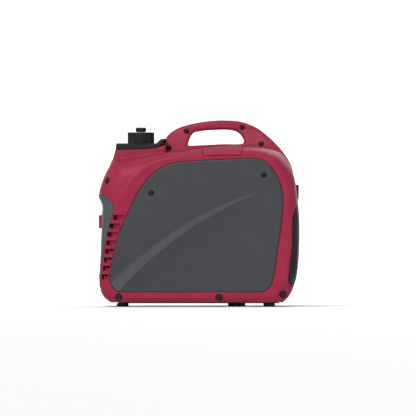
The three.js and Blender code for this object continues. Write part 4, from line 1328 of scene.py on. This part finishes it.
class GENERATOR_OT_starter(PieceOperator, bpy.types.Operator):
    """Make the recoil starter's cup, grip and rope"""

    bl_idname = "generator.starter"
    bl_label = "Recoil starter"

    def execute(self, context):
        cell = self.cell("fitting_cell")
        self.carve("recoil_bezel", recoil_bezel, (-180, 112, 155), (-104, 143, 201), cell, "black",
                   "black_plastic")
        self.carve("recoil_grip", starter_grip, (-170, 118, 168), (-114, 143, 188), cell * 0.8, "black",
                   "black_plastic", frame_body("recoil_grip"))
        cord = piece("starter_rope_surface", rope(), "rope", "root", ["starter_rope"])
        cord.parent = None
        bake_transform(cord)
        return {"FINISHED"}


def side_screws():
    """The screws in one side of the shells: head radius, height, axis and place of each."""
    rows = []
    for x, z, r in FIN_SCREWS:
        rows.append((r - 0.3, 3.0, (0, -1, 0), (x, -(surface_at(x, z) - 4.9), z)))
    for x, z, r in FOOT_SCREWS:
        rows.append((r - 0.4, 3.4, (0, -1, 0), (x, -(width_at(x, z) - 3.7), z)))
    rows.append((CHEEK_SCREW[2] - 0.3, 3.0, CHEEK_AXIS, cheek_point() - CHEEK_AXIS * 3.9))
    return rows


class GENERATOR_OT_fastenings(PieceOperator, bpy.types.Operator):
    """Make the screws of the shells and covers, and the rubber feet"""

    bl_idname = "generator.fastenings"
    bl_label = "Screws and feet"

    def execute(self, context):
        shell = joined(*[cross_screw(*row) for row in side_screws()])
        cover = joined(*[cross_screw(r - 0.25, 2.2, (0, -1, 0), (x, -138.3, z)) for x, z, r in COVER_SCREWS])
        for name, shape, body in (
            ("near_shell", shell, "root"), ("far_shell", mirrored(shell), "root"),
            ("near_cover", cover, "side_cover"), ("far_cover", mirrored(cover), "root"),
        ):
            piece(f"{name}_screws", shape, "dark steel", body)
        for node in ("foot_front_near", "foot_front_far", "foot_rear_near", "foot_rear_far"):
            x, y, _ = node_middle(node)
            piece(f"{node}_surface", foot(x, y), "rubber", "root", [node])
        return {"FINISHED"}


INSIDE = {
    "base_tray": "black", "control_plate": "matt", "cap_seal": "rubber", "recoil_housing": "matt",
    "recoil_pulley": "white", "recoil_spring": "steel", "cooling_fan": "matt", "rotor": "dark steel",
    "stator": "winding", "fan_shroud": "matt", "crankshaft": "shaft", "crankcase": "cast",
    "oil_dipstick": "black", "cylinder_block": "cast", "rocker_cover": "cast", "spark_plug": "ceramic",
    "plug_lead": "rubber", "ignition_coil": "matt", "carburettor": "cast", "air_filter_box": "black",
    "muffler": "steel", "fuel_tank": "matt", "fuel_strainer": "white", "fuel_hose": "rubber",
    "inverter_module": "cast", "engine_mount_front": "rubber", "engine_mount_rear": "rubber",
}


class GENERATOR_OT_inside(PieceOperator, bpy.types.Operator):
    """Give every part of the frame that still shows its own finish"""

    bl_idname = "generator.inside"
    bl_label = "Inside finishes"

    def execute(self, context):
        for node, finish in INSIDE.items():
            mesh = frame["nodes"][node].data
            mesh.materials.clear()
            mesh.materials.append(FINISHES[finish]())
        return {"FINISHED"}


OBJECT_MIDDLE = (0, 0, 0.22)
CAMERA_DISTANCE = 30.0
FIELD_WIDTH = 1.0192         # metres across the picture, at the object


def placed(name, data, at=(0, 0, 0), turn=(0, 0, 0)):
    """Puts an object into the scene."""
    made = bpy.data.objects.new(name, data)
    made.location, made.rotation_euler = at, turn
    bpy.context.scene.collection.objects.link(made)
    return made


class GENERATOR_OT_stage(PieceOperator, bpy.types.Operator):
    """Make the pale floor and backdrop, the soft lights and the camera"""

    bl_idname = "generator.stage"
    bl_label = "Stage"

    def execute(self, context):
        self.backdrop()
        self.world()
        self.sun()
        self.light("Rear light", (1.5, 4.0, 3.0), 3.0, 60)
        self.camera()
        return {"FINISHED"}

    def backdrop(self):
        """Floor that turns up into a low wall: a straight line, a quarter circle and a straight line, carried
        along X."""
        arc = np.linspace(0, np.pi / 2, 24)
        line = np.concatenate([[[-40, 0]], np.stack([5 + np.sin(arc), 1 - np.cos(arc)], -1), [[6, 1.5]]])
        across = np.array([-12.0, 12.0])
        grid = np.stack(np.broadcast_arrays(across[None, :], line[:, :1], line[:, 1:]), -1).reshape(-1, 3)
        faces = grid_faces(len(line), 2, closed_columns=False)[:, ::-1]
        mesh = bpy.data.meshes.new("Backdrop")
        mesh.from_pydata(grid.tolist(), [], faces.tolist())
        mesh.shade_smooth()
        pale = material("Pale floor", lambda place: noise(place, 400, 2).mix(grey(0.83), grey(0.86)), 0.7)
        mesh.materials.append(pale)
        made = placed("Backdrop", mesh)

    def world(self):
        """Even white light from everywhere."""
        bpy.context.scene.view_settings.view_transform = "Standard"
        world = bpy.data.worlds.new("Studio")
        world.use_nodes = True
        background = world.node_tree.nodes["Background"]
        background.inputs["Color"].default_value = (1.0, 1.0, 1.0, 1.0)
        background.inputs["Strength"].default_value = 0.42
        bpy.context.scene.world = world

    def light(self, name, at, width, power):
        """A square soft light that faces the object, above and behind its far side."""
        lamp = bpy.data.lights.new(name, "AREA")
        lamp.size = width
        lamp.energy = power
        aim = Vector(OBJECT_MIDDLE) - Vector(at)
        placed(name, lamp, at, aim.to_track_quat("-Z", "Y").to_euler())

    def sun(self):
        """The main light: even over the whole floor, soft, from the front, above and a little to the left."""
        lamp = bpy.data.lights.new("Main light", "SUN")
        lamp.energy = 3.4
        lamp.angle = 0.7
        placed("Main light", lamp, turn=Vector((0.24, 0.67, -0.70)).to_track_quat("-Z", "Y").to_euler())

    def camera(self):
        """A long lens from the near side, level with the object's middle."""
        view = bpy.data.cameras.new("Camera")
        view.sensor_width = 36
        view.lens = view.sensor_width * CAMERA_DISTANCE / FIELD_WIDTH
        view.clip_end = 3 * CAMERA_DISTANCE
        at = (0.0218, -CAMERA_DISTANCE - 0.1, 0.242)
        bpy.context.scene.camera = placed("Camera", view, at, (np.pi / 2, 0, 0))


class GENERATOR_PT_panel(bpy.types.Panel):
    """Sidebar panel with the sizes, the colours and a button for each group of pieces"""

    bl_idname = "GENERATOR_PT_panel"
    bl_label = "Suitcase generator"
    bl_space_type = "VIEW_3D"
    bl_region_type = "UI"
    bl_category = "Generator"

    def draw(self, context):
        for name in GeneratorSettings.__annotations__:
            self.layout.prop(context.scene.generator, name)
        for operator in OPERATORS:
            self.layout.operator(operator.bl_idname)


OPERATORS = (
    GENERATOR_OT_shells, GENERATOR_OT_handle, GENERATOR_OT_covers, GENERATOR_OT_ends, GENERATOR_OT_filler,
    GENERATOR_OT_controls, GENERATOR_OT_starter, GENERATOR_OT_fastenings, GENERATOR_OT_inside, GENERATOR_OT_stage,
)
CLASSES = (GeneratorSettings, *OPERATORS, GENERATOR_PT_panel)


def register():
    for item in CLASSES:
        bpy.utils.register_class(item)
    bpy.types.Scene.generator = PointerProperty(type=GeneratorSettings)


def unregister():
    del bpy.types.Scene.generator
    for item in reversed(CLASSES):
        bpy.utils.unregister_class(item)


def main():
    register()
    for operator in OPERATORS:
        getattr(bpy.ops.generator, operator.bl_idname.partition(".")[2])()


if __name__ == "__main__":
    main()
